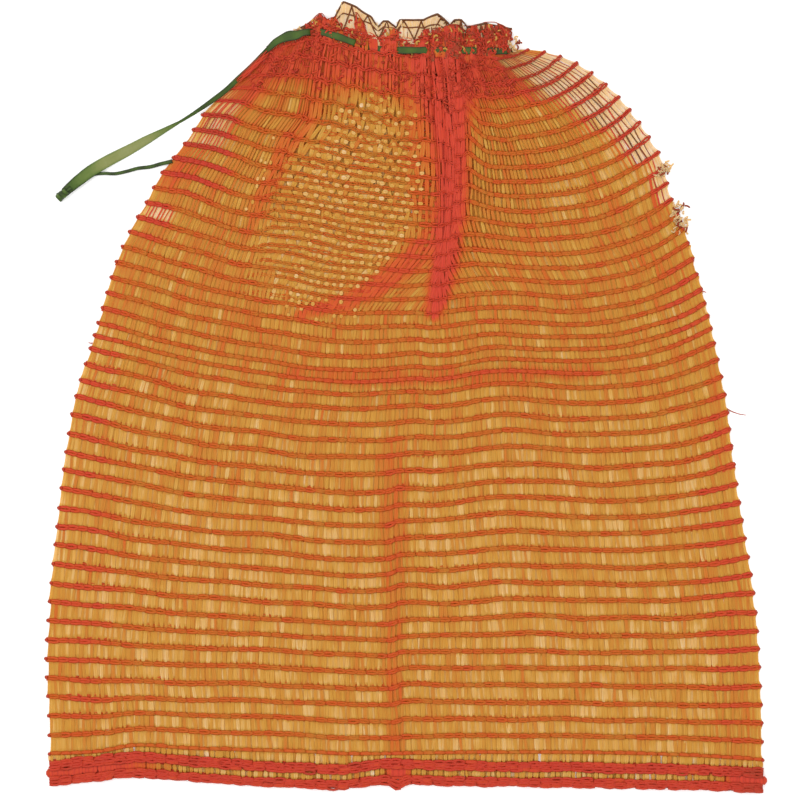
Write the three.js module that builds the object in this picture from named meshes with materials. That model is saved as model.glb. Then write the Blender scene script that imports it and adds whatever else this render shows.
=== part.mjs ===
// Raschel mesh bag, empty, drawn shut and lying flat, with its mouth towards +Y and its front up.
// Millimetres, +Z up. The origin is on the resting surface, under the middle of the bag's box.
// The two net layers lie on each other, so the bag is one thin solid with the true outline,
// a sewn hem, a raised line for each knitted chain, a gathered neck and a ruffled frill.
// A flat tape is drawn through the neck; its two ends leave the bag at the left and are knotted together.

import * as THREE from 'three';

const { clamp, lerp, smoothstep } = THREE.MathUtils;

// Knit: a six-gauge machine with every second needle threaded, two needles to a pitch.
const CHAIN_PITCH = 25.4 / 3;
const PITCHES = 42; // chain pitches from the hem to the drawn neck, along the sides
const CHAIN_WIDTH = 2.4;
const CHAIN_RELIEF = 0.7;
const CHAIN_END_REACH = 1.3; // how far a chain's turn stands out at the sides

// Heights of the cloth above the resting surface.
const CLOTH = 2.6;
const SIDE_FOLD = 1.8;
const SIDE_FOLD_SHARE = 0.06; // share of the width over which the side fold thins
const NECK_RISE = 6.4;
const NECK_RISE_START = 0.58; // share of the way up from the hem to the neck
const GATHER_RELIEF = 0.9;
const GATHER_START = 0.84;
const PLEAT_RISE = 2.0;
const PLEAT_HALF_SHARE = 0.028;
const PLEAT_START = 0.6;
const PLEAT_FULL = 0.75;
const LEFT_PLEAT_RISE = 1.0;
const CREASE_RISE = 1.0;
const CREASE_AT = 0.537;
const CREASE_HALF_SHARE = 0.016;
const FADE = 0.1; // share over which a crease or fold dies out
const FOLD_RISE = 0.8;
const FOLD_HALF_SHARE = 0.022;
const FOLD_END = 0.42;

// Places across the bag, as shares of its width from the left side.
const LEFT_PLEAT = 0.25;
const MAIN_PLEAT = 0.56;
const CENTRE_FOLD = 0.49;
const CREASE_FROM = 0.3;
const CREASE_TO = 0.86;

// The sides from the top of the hem up to the neck.
const LEFT_SIDE = [
  [-174, -175.5], [-174.8, -150], [-176, -127], [-174.6, -103], [-172, -76], [-168.6, -44], [-164.2, -12],
  [-160.4, 5], [-154.6, 24], [-148, 46], [-143, 63], [-138, 76], [-131.5, 88.5], [-126.2, 97.5],
  [-121.4, 107.3], [-115.5, 115.6], [-108.8, 124], [-104.2, 131.2], [-98.6, 140], [-93.4, 145.4],
  [-86.6, 151.2], [-80, 157.2], [-74.8, 162.6], [-69.6, 167.6], [-67.6, 168.8],
];
const RIGHT_SIDE = [
  [174, -178], [173, -147], [171, -110], [168.4, -87], [163.2, -55], [158.8, -24], [155.8, 0], [151.4, 22],
  [145.8, 46], [136.5, 79], [129, 99], [124.6, 117], [119, 127], [111.6, 138], [102.5, 148.6], [95, 155.6],
  [90, 159.6], [83, 164], [75, 167.2], [65, 169.8], [57, 170.2], [51, 168.5],
];
const LEFT_CORNER = -174;
const RIGHT_CORNER = 173.5;

// The hem: its lower edge as [share across, y], its stitches' ripple and its section as [height, thickness].
const HEM_EDGE = [
  [0, -188.5], [0.12, -184], [0.28, -188.5], [0.42, -190.5], [0.465, -187.5],
  [0.49, -191], [0.515, -187.5], [0.72, -189], [0.92, -190.5], [1, -192],
];
const HEM_RIPPLE = 0.35;
const HEM_HEIGHT = 13;
const HEM_SECTION = [
  [0, 1.9], [1.2, 3.4], [4.2, 3.4], [5.2, 2.5], [7.4, 2.5], [8.4, 3.7], [11.8, 3.7], [12.6, 2.6],
];
const CORNER_BUNCH = 1.2;
const CORNER_BUNCH_SHARE = 0.05;

// The rows sag between the sides: how steeply they climb towards each side.
const ROW_MIDDLE = 0.5;
const LEFT_CLIMB = 2.4;
const RIGHT_CLIMB = 4;
const HEM_TOP = -175.5;

// The neck line, just under the tape, as [share across, y].
// The width is gathered there as [share across, share of the neck].
const NECK_LINE = [[0, 166.5], [0.18, 173], [0.27, 171.5], [0.44, 166], [1, 166.5]];
const NECK_GATHER = [[0, 0], [LEFT_PLEAT, 0.27], [MAIN_PLEAT, 0.744], [1, 1]];
const GATHER_POWER = 2;

// The frill above the neck: its reach from the neck line as [share across, height].
const FRILL_REACH = [
  [0, 10.5], [0.13, 10.5], [0.2, 14.5], [0.27, 21.5], [0.36, 15], [0.44, 18.5], [0.49, 18],
  [0.53, 22], [0.59, 16], [0.67, 19], [0.73, 14.5], [0.84, 15], [0.92, 18], [1, 14.5],
];
const FRILL_FLARE = 3;
const FRILL_EDGE = 3.2;
const FRILL_RUFFLE = 1.1;
const FRILL_STEPS = 3;
const FRILL_FALL = 1.5; // how late the frill falls towards its edge

// The tape through the neck and its free end, with the thin second end and the knot.
const TAPE_WIDTH = 5.4;
const TAPE_THICKNESS = 1.2;
const TAPE_SIDES = 8;
const GAP = 0.3;
const GROOVE_DEPTH = 2.0;
const GROOVE_HALF = TAPE_WIDTH / 2 + 0.5;
const GROOVE_LIP = 0.5;
const GROOVE_WIDTH = 2 * (GROOVE_HALF + GROOVE_LIP);
const GROOVE_PINCH = 0.4;
const TAIL_WIDTH = 4.4;
const TAIL_ROUTE = [
  [-69.4, 171.2, 4.8], [-72.4, 168.6, 4.6], [-76.8, 163.4, 4.2], [-82.2, 157.4, 3.8], [-88, 151.6, 3.5],
  [-94.4, 146.2, 3.4], [-101.4, 141, 3.2], [-109, 136, 2.4], [-117.5, 131.3, 1.6], [-126, 126.7, 1.1],
  [-135.5, 121.4, 1], [-145, 116.4, 1.6], [-153, 111.6, 2.4], [-159.4, 106.8, 2.5], [-164, 103, 2.6],
];
const TAIL_STEPS = 34;
const STRAND_WIDTH = 1.4;
const STRAND_ROUTE = [
  [-117.8, 115.1, 1.2], [-120.4, 114.5, 1], [-125.2, 113.2, 0.8], [-131, 112.5, 0.8], [-136.2, 111.1, 0.8],
  [-142, 109.9, 0.8], [-147.5, 110, 0.8], [-152.5, 109.4, 0.8], [-157.4, 106.6, 0.8], [-161.6, 103.2, 0.8],
];
const STRAND_STEPS = 16;
const KNOT_CENTRE = [-168.4, 98.8, 2.7];
const KNOT_PROFILE = [
  [0, -4.2], [1.5, -3.8], [2.5, -2.2], [2.6, -0.6], [2.1, 0.8], [1.3, 1.8], [1.7, 3.4], [0, 3.8],
];
const KNOT_SIDES = 12;
const KNOT_TURN = 2.25; // radians about +Z, the way the tail arrives

const COLUMNS = 30;
const COLUMN_NEAR_PLEAT = 0.018;

const NET_ORANGE = '#c98138';
const NET_ROUGHNESS = 0.6;
const TAPE_GREEN = '#4f7a3b';
const TAPE_ROUGHNESS = 0.5;
const STRAND_GREEN = '#43533c';
const KNOT_GREEN = '#3f4d26';

const leftCurve = new THREE.SplineCurve(LEFT_SIDE.map(([x, y]) => new THREE.Vector2(x, y)));
const rightCurve = new THREE.SplineCurve(RIGHT_SIDE.map(([x, y]) => new THREE.Vector2(x, y)));

// Up on odd columns and down on even ones.
function ripple(column) {
  return column % 2 === 0 ? -1 : 1;
}

// Reads a list of [place, value] pairs at any place, in straight stretches.
function along(pairs, place) {
  const next = pairs.findIndex(([at]) => at >= place);
  if (next <= 0) return pairs[Math.max(next, 0)][1];
  const [from, low] = pairs[next - 1];
  const [to, high] = pairs[next];
  return lerp(low, high, (place - from) / (to - from));
}

// A rounded ridge of height 1 at 0 that ends at -1 and 1.
function ridge(offset) {
  return Math.abs(offset) >= 1 ? 0 : 0.5 + 0.5 * Math.cos(Math.PI * offset);
}

// The shares across the bag at which the cloth is divided, with the pleat's own sides among them.
function columnShares() {
  const even = Array.from({ length: COLUMNS + 1 }, (_, index) => index / COLUMNS);
  const pleat = [-1, 0, 1].map((side) => MAIN_PLEAT + side * COLUMN_NEAR_PLEAT);
  const clear = even.filter((share) => pleat.every((at) => Math.abs(share - at) > COLUMN_NEAR_PLEAT / 2));
  return [...clear, ...pleat].sort((a, b) => a - b);
}

const SHARES = columnShares();
const MIDDLE_COLUMN = SHARES.findIndex((share) => share >= ROW_MIDDLE);

// Height up the page of a row's sagging middle, at a share across and a rise from hem (0) to neck (1).
function rowLevel(share, rise) {
  return lerp(HEM_TOP, along(NECK_LINE, share), rise);
}

// A place on the cloth between the hem and the neck. Each row climbs from its middle to both sides.
function clothPlace(share, rise) {
  const left = leftCurve.getPointAt(rise);
  const right = rightCurve.getPointAt(rise);
  const gathered = clamp((rise - PLEAT_START) / (1 - PLEAT_START), 0, 1) ** GATHER_POWER;
  const across = lerp(share, along(NECK_GATHER, share), gathered);
  const offset = (share - ROW_MIDDLE) / ROW_MIDDLE;
  const sideClimb = offset < 0 ? left.y - rowLevel(0, rise) : right.y - rowLevel(1, rise);
  const climb = sideClimb * Math.abs(offset) ** (offset < 0 ? LEFT_CLIMB : RIGHT_CLIMB);
  return new THREE.Vector2(lerp(left.x, right.x, across), rowLevel(share, rise) + climb);
}

// The cloth's own thickness, before chains and gathers.
function clothHeight(share, rise) {
  const inward = smoothstep(Math.min(share, 1 - share), 0, SIDE_FOLD_SHARE);
  const neck = smoothstep(rise, NECK_RISE_START, 1) ** GATHER_POWER * Math.sqrt(Math.sin(Math.PI * share));
  const pleated = smoothstep(rise, PLEAT_START, PLEAT_FULL);
  const mainPleat = PLEAT_RISE * ridge((share - MAIN_PLEAT) / PLEAT_HALF_SHARE);
  const leftPleat = LEFT_PLEAT_RISE * ridge((share - LEFT_PLEAT) / (2 * PLEAT_HALF_SHARE));
  const creaseBegun = smoothstep(share, CREASE_FROM, CREASE_FROM + FADE);
  const creaseEnded = smoothstep(share, CREASE_TO - FADE, CREASE_TO);
  const crease = CREASE_RISE * (creaseBegun - creaseEnded) * ridge((rise - CREASE_AT) / CREASE_HALF_SHARE);
  const folded = 1 - smoothstep(rise, FOLD_END - FADE, FOLD_END);
  const fold = FOLD_RISE * folded * ridge((share - CENTRE_FOLD) / FOLD_HALF_SHARE);
  const flat = lerp(SIDE_FOLD, CLOTH, inward);
  return flat + NECK_RISE * neck + pleated * (mainPleat + leftPleat) + crease + fold;
}

// Gathers rise and fall from column to column as the cloth nears the neck.
function gatherHeight(column, rise) {
  return ripple(column) * GATHER_RELIEF * smoothstep(rise, GATHER_START, 1);
}

// Height of the groove's floor, where the tape crosses the neck.
function grooveFloor(share) {
  return Math.max(clothHeight(share, 1) - GROOVE_DEPTH, SIDE_FOLD);
}

// One line of points from side to side; a chain's line also stands out at both ends.
function clothLine(rise, lift, endReach) {
  const line = SHARES.map((share, column) => {
    const place = clothPlace(share, rise);
    return new THREE.Vector3(place.x, place.y, clothHeight(share, rise) + gatherHeight(column, rise) + lift);
  });
  const last = line.length - 1;
  for (const [end, beside] of [[0, 1], [last, last - 1]]) {
    const outward = line[end].clone().sub(line[beside]).setZ(0).setLength(endReach);
    line[end].add(outward).setZ(SIDE_FOLD + lift);
  }
  return line;
}

// The hem's lines, from its lower edge up. Where the hem is thicker it also stands out at the sides.
function hemLines() {
  return HEM_SECTION.map(([height, thickness]) => SHARES.map((share, column) => {
    const top = clothPlace(share, 0);
    const up = height / HEM_HEIGHT;
    const edge = along(HEM_EDGE, share) + HEM_RIPPLE * ripple(column);
    const corner = lerp(LEFT_CORNER, RIGHT_CORNER, share);
    const bulge = (thickness - CLOTH) * (share - 0.5);
    const bunch = CORNER_BUNCH * smoothstep(share, 1 - CORNER_BUNCH_SHARE, 1);
    return new THREE.Vector3(lerp(corner, top.x, up) + bulge, lerp(edge, top.y, up), thickness + bunch);
  }));
}

// Three lines for each chain: its two feet and its crest.
function chainLines() {
  const lines = [];
  const half = CHAIN_WIDTH / 2 / (PITCHES * CHAIN_PITCH);
  for (let chain = 1; chain < PITCHES; chain += 1) {
    const rise = chain / PITCHES;
    lines.push(clothLine(rise - half, 0, 0));
    lines.push(clothLine(rise, CHAIN_RELIEF, CHAIN_END_REACH));
    lines.push(clothLine(rise + half, 0, 0));
  }
  return lines;
}

// The groove for the tape above the neck line: a lip, the level floor and the lip above it.
function grooveLines() {
  return [0, GROOVE_LIP, GROOVE_WIDTH - GROOVE_LIP, GROOVE_WIDTH].map((offset, line) => (
    SHARES.map((share) => {
      const place = clothPlace(share, 1);
      const onFloor = line === 1 || line === 2;
      const pinch = onFloor ? GROOVE_PINCH * (1 - 2 * share) : 0;
      const height = onFloor ? grooveFloor(share) : clothHeight(share, 1) + CHAIN_RELIEF;
      return new THREE.Vector3(place.x + pinch, place.y + offset, height);
    })
  ));
}

// The frill's lines, ruffled from column to column and flaring out to its uneven edge.
function frillLines() {
  return Array.from({ length: FRILL_STEPS }, (_, step) => SHARES.map((share, column) => {
    const out = (step + 1) / FRILL_STEPS;
    const place = clothPlace(share, 1);
    const flare = FRILL_FLARE * (share - 0.5) * out ** 2;
    const height = lerp(clothHeight(share, 1), FRILL_EDGE, out ** FRILL_FALL) + ripple(column) * FRILL_RUFFLE;
    const reach = along(FRILL_REACH, share) + ripple(column) * HEM_RIPPLE;
    return new THREE.Vector3(place.x + flare, place.y + lerp(GROOVE_WIDTH, reach, out), height);
  }));
}

// The range of whole numbers from a first to a last, either way.
function steps(first, last) {
  const way = Math.sign(last - first);
  return Array.from({ length: Math.abs(last - first) + 1 }, (_, step) => first + way * step);
}

// Closes a sheet of lines down to a level underside. The lines from low to high each get a point in
// the middle of the underside, so that it is split into short rungs, with one panel at each end.
function solidOnSurface(lines, low, high) {
  const points = lines.flat();
  const triangles = [];
  const right = lines[0].length - 1;
  const top = lines.length - 1;
  const at = (row, column) => row * (right + 1) + column;
  const copyBelow = (index) => points.push(points[index].clone().setZ(0)) - 1;
  for (let row = 0; row < top; row += 1) {
    for (let column = 0; column < right; column += 1) {
      triangles.push(at(row, column), at(row, column + 1), at(row + 1, column + 1));
      triangles.push(at(row, column), at(row + 1, column + 1), at(row + 1, column));
    }
  }

  const rim = [
    ...steps(0, right).map((column) => at(0, column)),
    ...steps(1, top).map((row) => at(row, right)),
    ...steps(right - 1, 0).map((column) => at(top, column)),
    ...steps(top - 1, 1).map((row) => at(row, 0)),
  ];
  const below = new Map(rim.map((index) => [index, copyBelow(index)]));
  rim.forEach((index, step) => {
    const next = rim[(step + 1) % rim.length];
    triangles.push(below.get(index), below.get(next), next, below.get(index), next, index);
  });

  const middle = new Map(steps(low, high).map((row) => [row, copyBelow(at(row, MIDDLE_COLUMN))]));
  for (let row = low; row < high; row += 1) {
    const [leftSide, leftNext] = [below.get(at(row, 0)), below.get(at(row + 1, 0))];
    const [rightSide, rightNext] = [below.get(at(row, right)), below.get(at(row + 1, right))];
    const [centre, centreNext] = [middle.get(row), middle.get(row + 1)];
    triangles.push(leftSide, centreNext, centre, leftSide, leftNext, centreNext);
    triangles.push(centre, rightNext, rightSide, centre, centreNext, rightNext);
  }
  const lowPanel = [
    ...steps(0, right).map((column) => below.get(at(0, column))),
    ...steps(1, low).map((row) => below.get(at(row, right))),
    middle.get(low),
    ...steps(low, 1).map((row) => below.get(at(row, 0))),
  ];
  const highPanel = [
    middle.get(high),
    ...steps(high, top).map((row) => below.get(at(row, right))),
    ...steps(right - 1, 0).map((column) => below.get(at(top, column))),
    ...steps(top - 1, high).map((row) => below.get(at(row, 0))),
  ];
  for (const panel of [lowPanel, highPanel]) {
    const outline = panel.map((index) => new THREE.Vector2(points[index].x, points[index].y));
    for (const [a, b, c] of THREE.ShapeUtils.triangulateShape(outline, [])) {
      triangles.push(panel[a], panel[c], panel[b]);
    }
  }
  return new THREE.BufferGeometry().setFromPoints(points).setIndex(triangles);
}

// A flat band that lies in the groove across the neck.
function neckTape() {
  const low = GROOVE_WIDTH / 2 - TAPE_WIDTH / 2;
  const high = low + TAPE_WIDTH;
  const corners = [[low, GAP], [high, GAP], [high, GAP + TAPE_THICKNESS], [low, GAP + TAPE_THICKNESS]];
  const points = SHARES.flatMap((share) => {
    const place = clothPlace(share, 1);
    return corners.map(([offset, lift]) => (
      new THREE.Vector3(place.x, place.y + offset, grooveFloor(share) + lift)
    ));
  });
  const sides = corners.length;
  const triangles = [];
  for (let ring = 0; ring + 1 < SHARES.length; ring += 1) {
    for (let side = 0; side < sides; side += 1) {
      const a = ring * sides + side;
      const b = ring * sides + (side + 1) % sides;
      triangles.push(a, b, b + sides, a, b + sides, a + sides);
    }
  }
  const end = (SHARES.length - 1) * sides;
  triangles.push(0, 2, 1, 0, 3, 2, end, end + 1, end + 2, end, end + 2, end + 3);
  return new THREE.BufferGeometry().setFromPoints(points).setIndex(triangles);
}

// A cord of flattened round section along a route.
function cordAlong(route, width, thickness, steps) {
  const section = new THREE.Shape();
  for (let side = 0; side < TAPE_SIDES; side += 1) {
    const angle = (2 * Math.PI * (side + 0.5)) / TAPE_SIDES;
    const corner = [(thickness / 2) * Math.cos(angle), (width / 2) * Math.sin(angle)];
    if (side === 0) section.moveTo(...corner);
    else section.lineTo(...corner);
  }
  section.closePath();
  const path = new THREE.CatmullRomCurve3(route.map((point) => new THREE.Vector3(...point)));
  return new THREE.ExtrudeGeometry(section, { steps, bevelEnabled: false, extrudePath: path });
}

function makePiece(name, geometry, colour, roughness = TAPE_ROUGHNESS) {
  const material = new THREE.MeshStandardMaterial({ color: colour, roughness, metalness: 0 });
  const mesh = new THREE.Mesh(geometry, material);
  mesh.name = name;
  return mesh;
}

function makeNet() {
  const hem = hemLines();
  const knit = [clothLine(0, 0, 0), ...chainLines()];
  const lines = [...hem, ...knit, ...grooveLines(), ...frillLines()];
  const solid = solidOnSurface(lines, hem.length, hem.length + knit.length);
  return makePiece('net_bag', solid, NET_ORANGE, NET_ROUGHNESS);
}

function makeKnot() {
  const profile = KNOT_PROFILE.map(([radius, height]) => new THREE.Vector2(radius, height));
  const knot = makePiece('drawstring_knot', new THREE.LatheGeometry(profile, KNOT_SIDES), KNOT_GREEN);
  knot.rotation.z = KNOT_TURN;
  knot.position.set(...KNOT_CENTRE);
  return knot;
}

function makeBag() {
  const bag = new THREE.Group();
  const net = makeNet();
  const tail = cordAlong(TAIL_ROUTE, TAIL_WIDTH, TAPE_THICKNESS, TAIL_STEPS);
  const strand = cordAlong(STRAND_ROUTE, STRAND_WIDTH, STRAND_WIDTH, STRAND_STEPS);
  bag.add(
    net,
    makePiece('drawstring_neck', neckTape(), TAPE_GREEN),
    makePiece('drawstring_tail', tail, TAPE_GREEN),
    makePiece('drawstring_strand', strand, STRAND_GREEN),
    makeKnot(),
  );
  net.geometry.computeBoundingBox();
  const middle = net.geometry.boundingBox.getCenter(new THREE.Vector3());
  bag.position.set(-middle.x, -middle.y, 0);
  return bag;
}

export default makeBag();
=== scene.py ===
"""Looks of an empty raschel mesh bag that lies flat, drawn shut by a flat green tape.

The bag is two layers of knitted net. Each layer has rows of chain stitches that run from side to
side, and film tapes that cross from row to row. Places are in millimetres in the pattern's frame,
as shares of the width and levels counted in rows, until a mesh is written in metres.
"""

from __future__ import annotations

import logging
import math
from dataclasses import dataclass, field
from enum import Enum
from functools import lru_cache
from typing import Any, Sequence

import bpy
import numpy as np
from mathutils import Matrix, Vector
from numpy.typing import NDArray

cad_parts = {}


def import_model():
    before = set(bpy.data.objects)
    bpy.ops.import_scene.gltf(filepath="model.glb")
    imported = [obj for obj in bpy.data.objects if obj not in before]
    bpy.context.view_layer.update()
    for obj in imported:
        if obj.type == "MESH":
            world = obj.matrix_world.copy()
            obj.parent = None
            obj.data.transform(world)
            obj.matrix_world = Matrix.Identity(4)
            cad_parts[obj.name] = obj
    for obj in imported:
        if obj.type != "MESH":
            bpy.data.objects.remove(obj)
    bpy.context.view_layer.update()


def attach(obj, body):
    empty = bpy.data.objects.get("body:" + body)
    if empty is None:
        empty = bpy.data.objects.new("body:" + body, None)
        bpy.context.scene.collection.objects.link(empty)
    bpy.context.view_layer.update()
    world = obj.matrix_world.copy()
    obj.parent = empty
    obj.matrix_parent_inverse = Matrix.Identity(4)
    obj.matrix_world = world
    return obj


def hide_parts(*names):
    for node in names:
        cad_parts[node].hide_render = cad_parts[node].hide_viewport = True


Array = NDArray[np.float64]
Span = tuple[float, float]
Window = tuple[Span, Span]
Pairs = tuple[tuple[float, float], ...]
Route = tuple[tuple[float, float, float], ...]

LOG = logging.getLogger("mesh_bag")
METRE = 0.001
PATTERN_SHIFT = np.array([1.083, -0.508, 0.0])  # from the pattern's frame to the part's, in millimetres
FLOOR_CLEARANCE = 0.00004  # nothing of the bag lies lower than this, in metres
UPWARD = np.array([0.0, 0.0, 1.0])
SIDEWAYS = np.array([1.0, 0.0, 0.0])
FULL_TURN = 2.0 * math.pi
SHORTEST = 1e-9  # keeps a vector without length from dividing by zero
CURVE_SAMPLES = 600
SPAN_SAMPLES = 40
FRILL_ROWS = 2  # the frill's edge lies this many rows above the neck
BODY = "root"
BAKE_MAP = "OFBake"
SEED = 42


class Layer(Enum):
    """The two layers of the flat bag."""

    FRONT = "front"
    BACK = "back"

    @property
    def index(self) -> int:
        """Give 0 for the front layer and 1 for the back layer."""
        return int(self is Layer.BACK)


class Side(Enum):
    """The bag's two folded sides, as shares of its width."""

    LEFT = 0.0
    RIGHT = 1.0


def blend(low: Any, high: Any, share: Any) -> Any:
    """Go from low at share 0 to high at share 1 in a straight line."""
    return low + (high - low) * share


def ease(value: Any, start: float, end: float) -> Any:
    """Rise smoothly from 0 at start to 1 at end."""
    step = np.clip((value - start) / (end - start), 0.0, 1.0)
    return step * step * (3.0 - 2.0 * step)


def along(pairs: Pairs, place: Any) -> Any:
    """Read a list of (place, value) pairs at any place, in straight stretches."""
    places, values = zip(*pairs)
    return np.interp(place, places, values)


def ridge(offset: Any) -> Any:
    """Give a rounded ridge of height 1 at 0 that ends at -1 and 1."""
    return np.where(np.abs(offset) >= 1.0, 0.0, 0.5 + 0.5 * np.cos(math.pi * offset))


def window(value: Any, opening: Span, closing: Span) -> Any:
    """Rise smoothly from 0 to 1 over one span of values, and fall back to 0 over a later one."""
    return ease(value, *opening) - ease(value, *closing)


def inset(share: Any) -> Any:
    """Give how far places lie from the bag's nearer side, as a share of its width."""
    return np.minimum(share, 1.0 - share)


def unit(vectors: Array) -> Array:
    """Scale vectors to length 1."""
    return vectors / np.maximum(np.linalg.norm(vectors, axis=-1, keepdims=True), SHORTEST)


def facing_up(lines: Array) -> Array:
    """Let every station of some lines look straight up."""
    return np.broadcast_to(UPWARD, lines.shape)


def headings(angle: Array, rise: float) -> Array:
    """Give steps of length 1 in directions across the page, which also go up and down by a rise."""
    return np.stack([np.cos(angle), np.sin(angle), rise * np.sin(2.0 * angle)], axis=-1)


def columns_of(*lists: Any) -> list[Array]:
    """Pair each value of some lists with every value of the others, as one column for each list."""
    return [grid.reshape(-1, 1) for grid in np.meshgrid(*lists, indexing="ij")]


def curve_points(route: Sequence[Sequence[float]], count: int) -> Array:
    """Sample a smooth curve through a route's points at even steps of its length.

    Args:
        route: Points that the curve passes through.
        count: How many samples to return.

    Returns:
        The samples, one row for each.
    """
    points = np.asarray(route, dtype=float)
    ends = np.vstack([points[:1], points, points[-1:]])
    step = np.linspace(0.0, 1.0, SPAN_SAMPLES, endpoint=False)[:, None]
    spans = []
    for before, start, end, after in zip(ends, ends[1:], ends[2:], ends[3:]):
        leaving = (end - before) / 2.0
        arriving = (after - start) / 2.0
        cubic = 2.0 * start - 2.0 * end + leaving + arriving
        square = -3.0 * start + 3.0 * end - 2.0 * leaving - arriving
        spans.append(((cubic * step + square) * step + leaving) * step + start)
    dense = np.vstack([*spans, points[-1:]])
    lengths = np.linalg.norm(np.diff(dense, axis=0), axis=1)
    travelled = np.concatenate([[0.0], np.cumsum(lengths)])
    wanted = np.linspace(0.0, travelled[-1], count)
    return np.column_stack([np.interp(wanted, travelled, column) for column in dense.T])


@lru_cache(maxsize=None)
def smooth_samples(pairs: Pairs) -> Array:
    """Sample the smooth curve through (place, value) pairs once.

    Args:
        pairs: Places in rising order, each with its value.

    Returns:
        Samples of place and value, with places that never fall.
    """
    samples = curve_points(pairs, CURVE_SAMPLES)
    samples[:, 0] = np.maximum.accumulate(samples[:, 0])
    return samples


def flow(pairs: Pairs, place: Any) -> Any:
    """Read a list of (place, value) pairs at any place, along a smooth curve."""
    samples = smooth_samples(pairs)
    return np.interp(place, samples[:, 0], samples[:, 1])


def together(parts: Sequence[Any], x: Array, y: Array) -> Array:
    """Combine fold lines or patches.

    Args:
        parts: The lines or patches.
        x: Places across the page, in millimetres.
        y: Places up the page, in millimetres.

    Returns:
        Values that are 0 where no part reaches, and go towards 1 where several do.
    """
    clear = np.ones_like(x)
    for part in parts:
        clear = clear * (1.0 - part.at(x, y))
    return 1.0 - clear


@dataclass(frozen=True)
class Ripple:
    """Smooth unevenness over the cloth: a few long waves with seeded directions and phases."""

    seed: int
    waves: int = 7
    across: float = 9.0
    upward: float = 2.2

    def at(self, share: Any, level: Any) -> Any:
        """Read the unevenness.

        Args:
            share: Place across the bag, from 0 to 1.
            level: Place up the bag, in rows.

        Returns:
            Values that mostly stay between -1 and 1.
        """
        draw = np.random.default_rng(self.seed)
        total = 0.0
        for _ in range(self.waves):
            turns_across = draw.uniform(-self.across, self.across)
            turns_upward = draw.uniform(-self.upward, self.upward)
            phase = draw.uniform(0.0, FULL_TURN)
            total = total + np.sin(FULL_TURN * turns_across * share + turns_upward * level + phase)
        return total / math.sqrt(self.waves)


@dataclass(frozen=True)
class FoldLine:
    """A line on the bag along which the net lies in several layers and looks red.

    Its points are (x, y, half width) in millimetres. The red fades out between two distances,
    which are given in half widths.
    """

    points: Route
    strength: float
    fading: Span = (0.45, 1.25)

    def at(self, x: Array, y: Array) -> Array:
        """Give how red the net is at places on the bag.

        Args:
            x: Places across the page, in millimetres.
            y: Places up the page, in millimetres.

        Returns:
            Values from 0 to the line's strength.
        """
        nearest = np.zeros_like(x)
        for (x0, y0, half0), (x1, y1, half1) in zip(self.points, self.points[1:]):
            run = np.array([x1 - x0, y1 - y0])
            step = ((x - x0) * run[0] + (y - y0) * run[1]) / float(run @ run)
            step = np.clip(step, 0.0, 1.0)
            away = np.hypot(x - x0 - step * run[0], y - y0 - step * run[1])
            nearest = np.maximum(nearest, 1.0 - ease(away / blend(half0, half1, step), *self.fading))
        return self.strength * nearest


@dataclass(frozen=True)
class Patch:
    """A rounded part of the bag where the net is stretched or its tapes lie in another way."""

    x: float
    y: float
    half_width: float
    half_height: float
    strength: float
    fading: Span = (0.55, 1.15)

    def at(self, x: Array, y: Array) -> Array:
        """Give how far places on the bag take part, from 0 to the patch's strength."""
        away = np.hypot((x - self.x) / self.half_width, (y - self.y) / self.half_height)
        return self.strength * (1.0 - ease(away, *self.fading))


@dataclass(frozen=True)
class Pleat:
    """Cloth that is drawn together in folds which run down from the neck.

    Its path gives (rise, x), so that the pleat stays where the photograph has it.
    """

    share: float
    half_share: float
    path: Pairs
    width: float
    start: float
    full: float
    folds: int
    rise: float
    narrowing: float = 0.4
    least_half: float = 1e-4

    def closed_at(self, rise: Any) -> Any:
        """Give how far the pleat is drawn shut, from 0 to 1."""
        return ease(rise, self.start, self.full)

    def half_at(self, rise: Any) -> Any:
        """Give half of the cloth's width that the pleat takes up, as a share."""
        return self.half_share * self.closed_at(rise) + self.least_half

    def width_at(self, rise: Any, flat_width: Any) -> Any:
        """Give the width that the pleat takes up on the page.

        Args:
            rise: Place from the first row at 0 to the neck at 1.
            flat_width: The whole bag's width there, in millimetres.

        Returns:
            The width in millimetres, which is that of flat cloth below the pleat.
        """
        closing = ease(rise, self.start, blend(self.start, self.full, self.narrowing))
        flat = 2.0 * self.half_at(rise) * flat_width
        return blend(flat, np.minimum(flat, self.width), closing)


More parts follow.
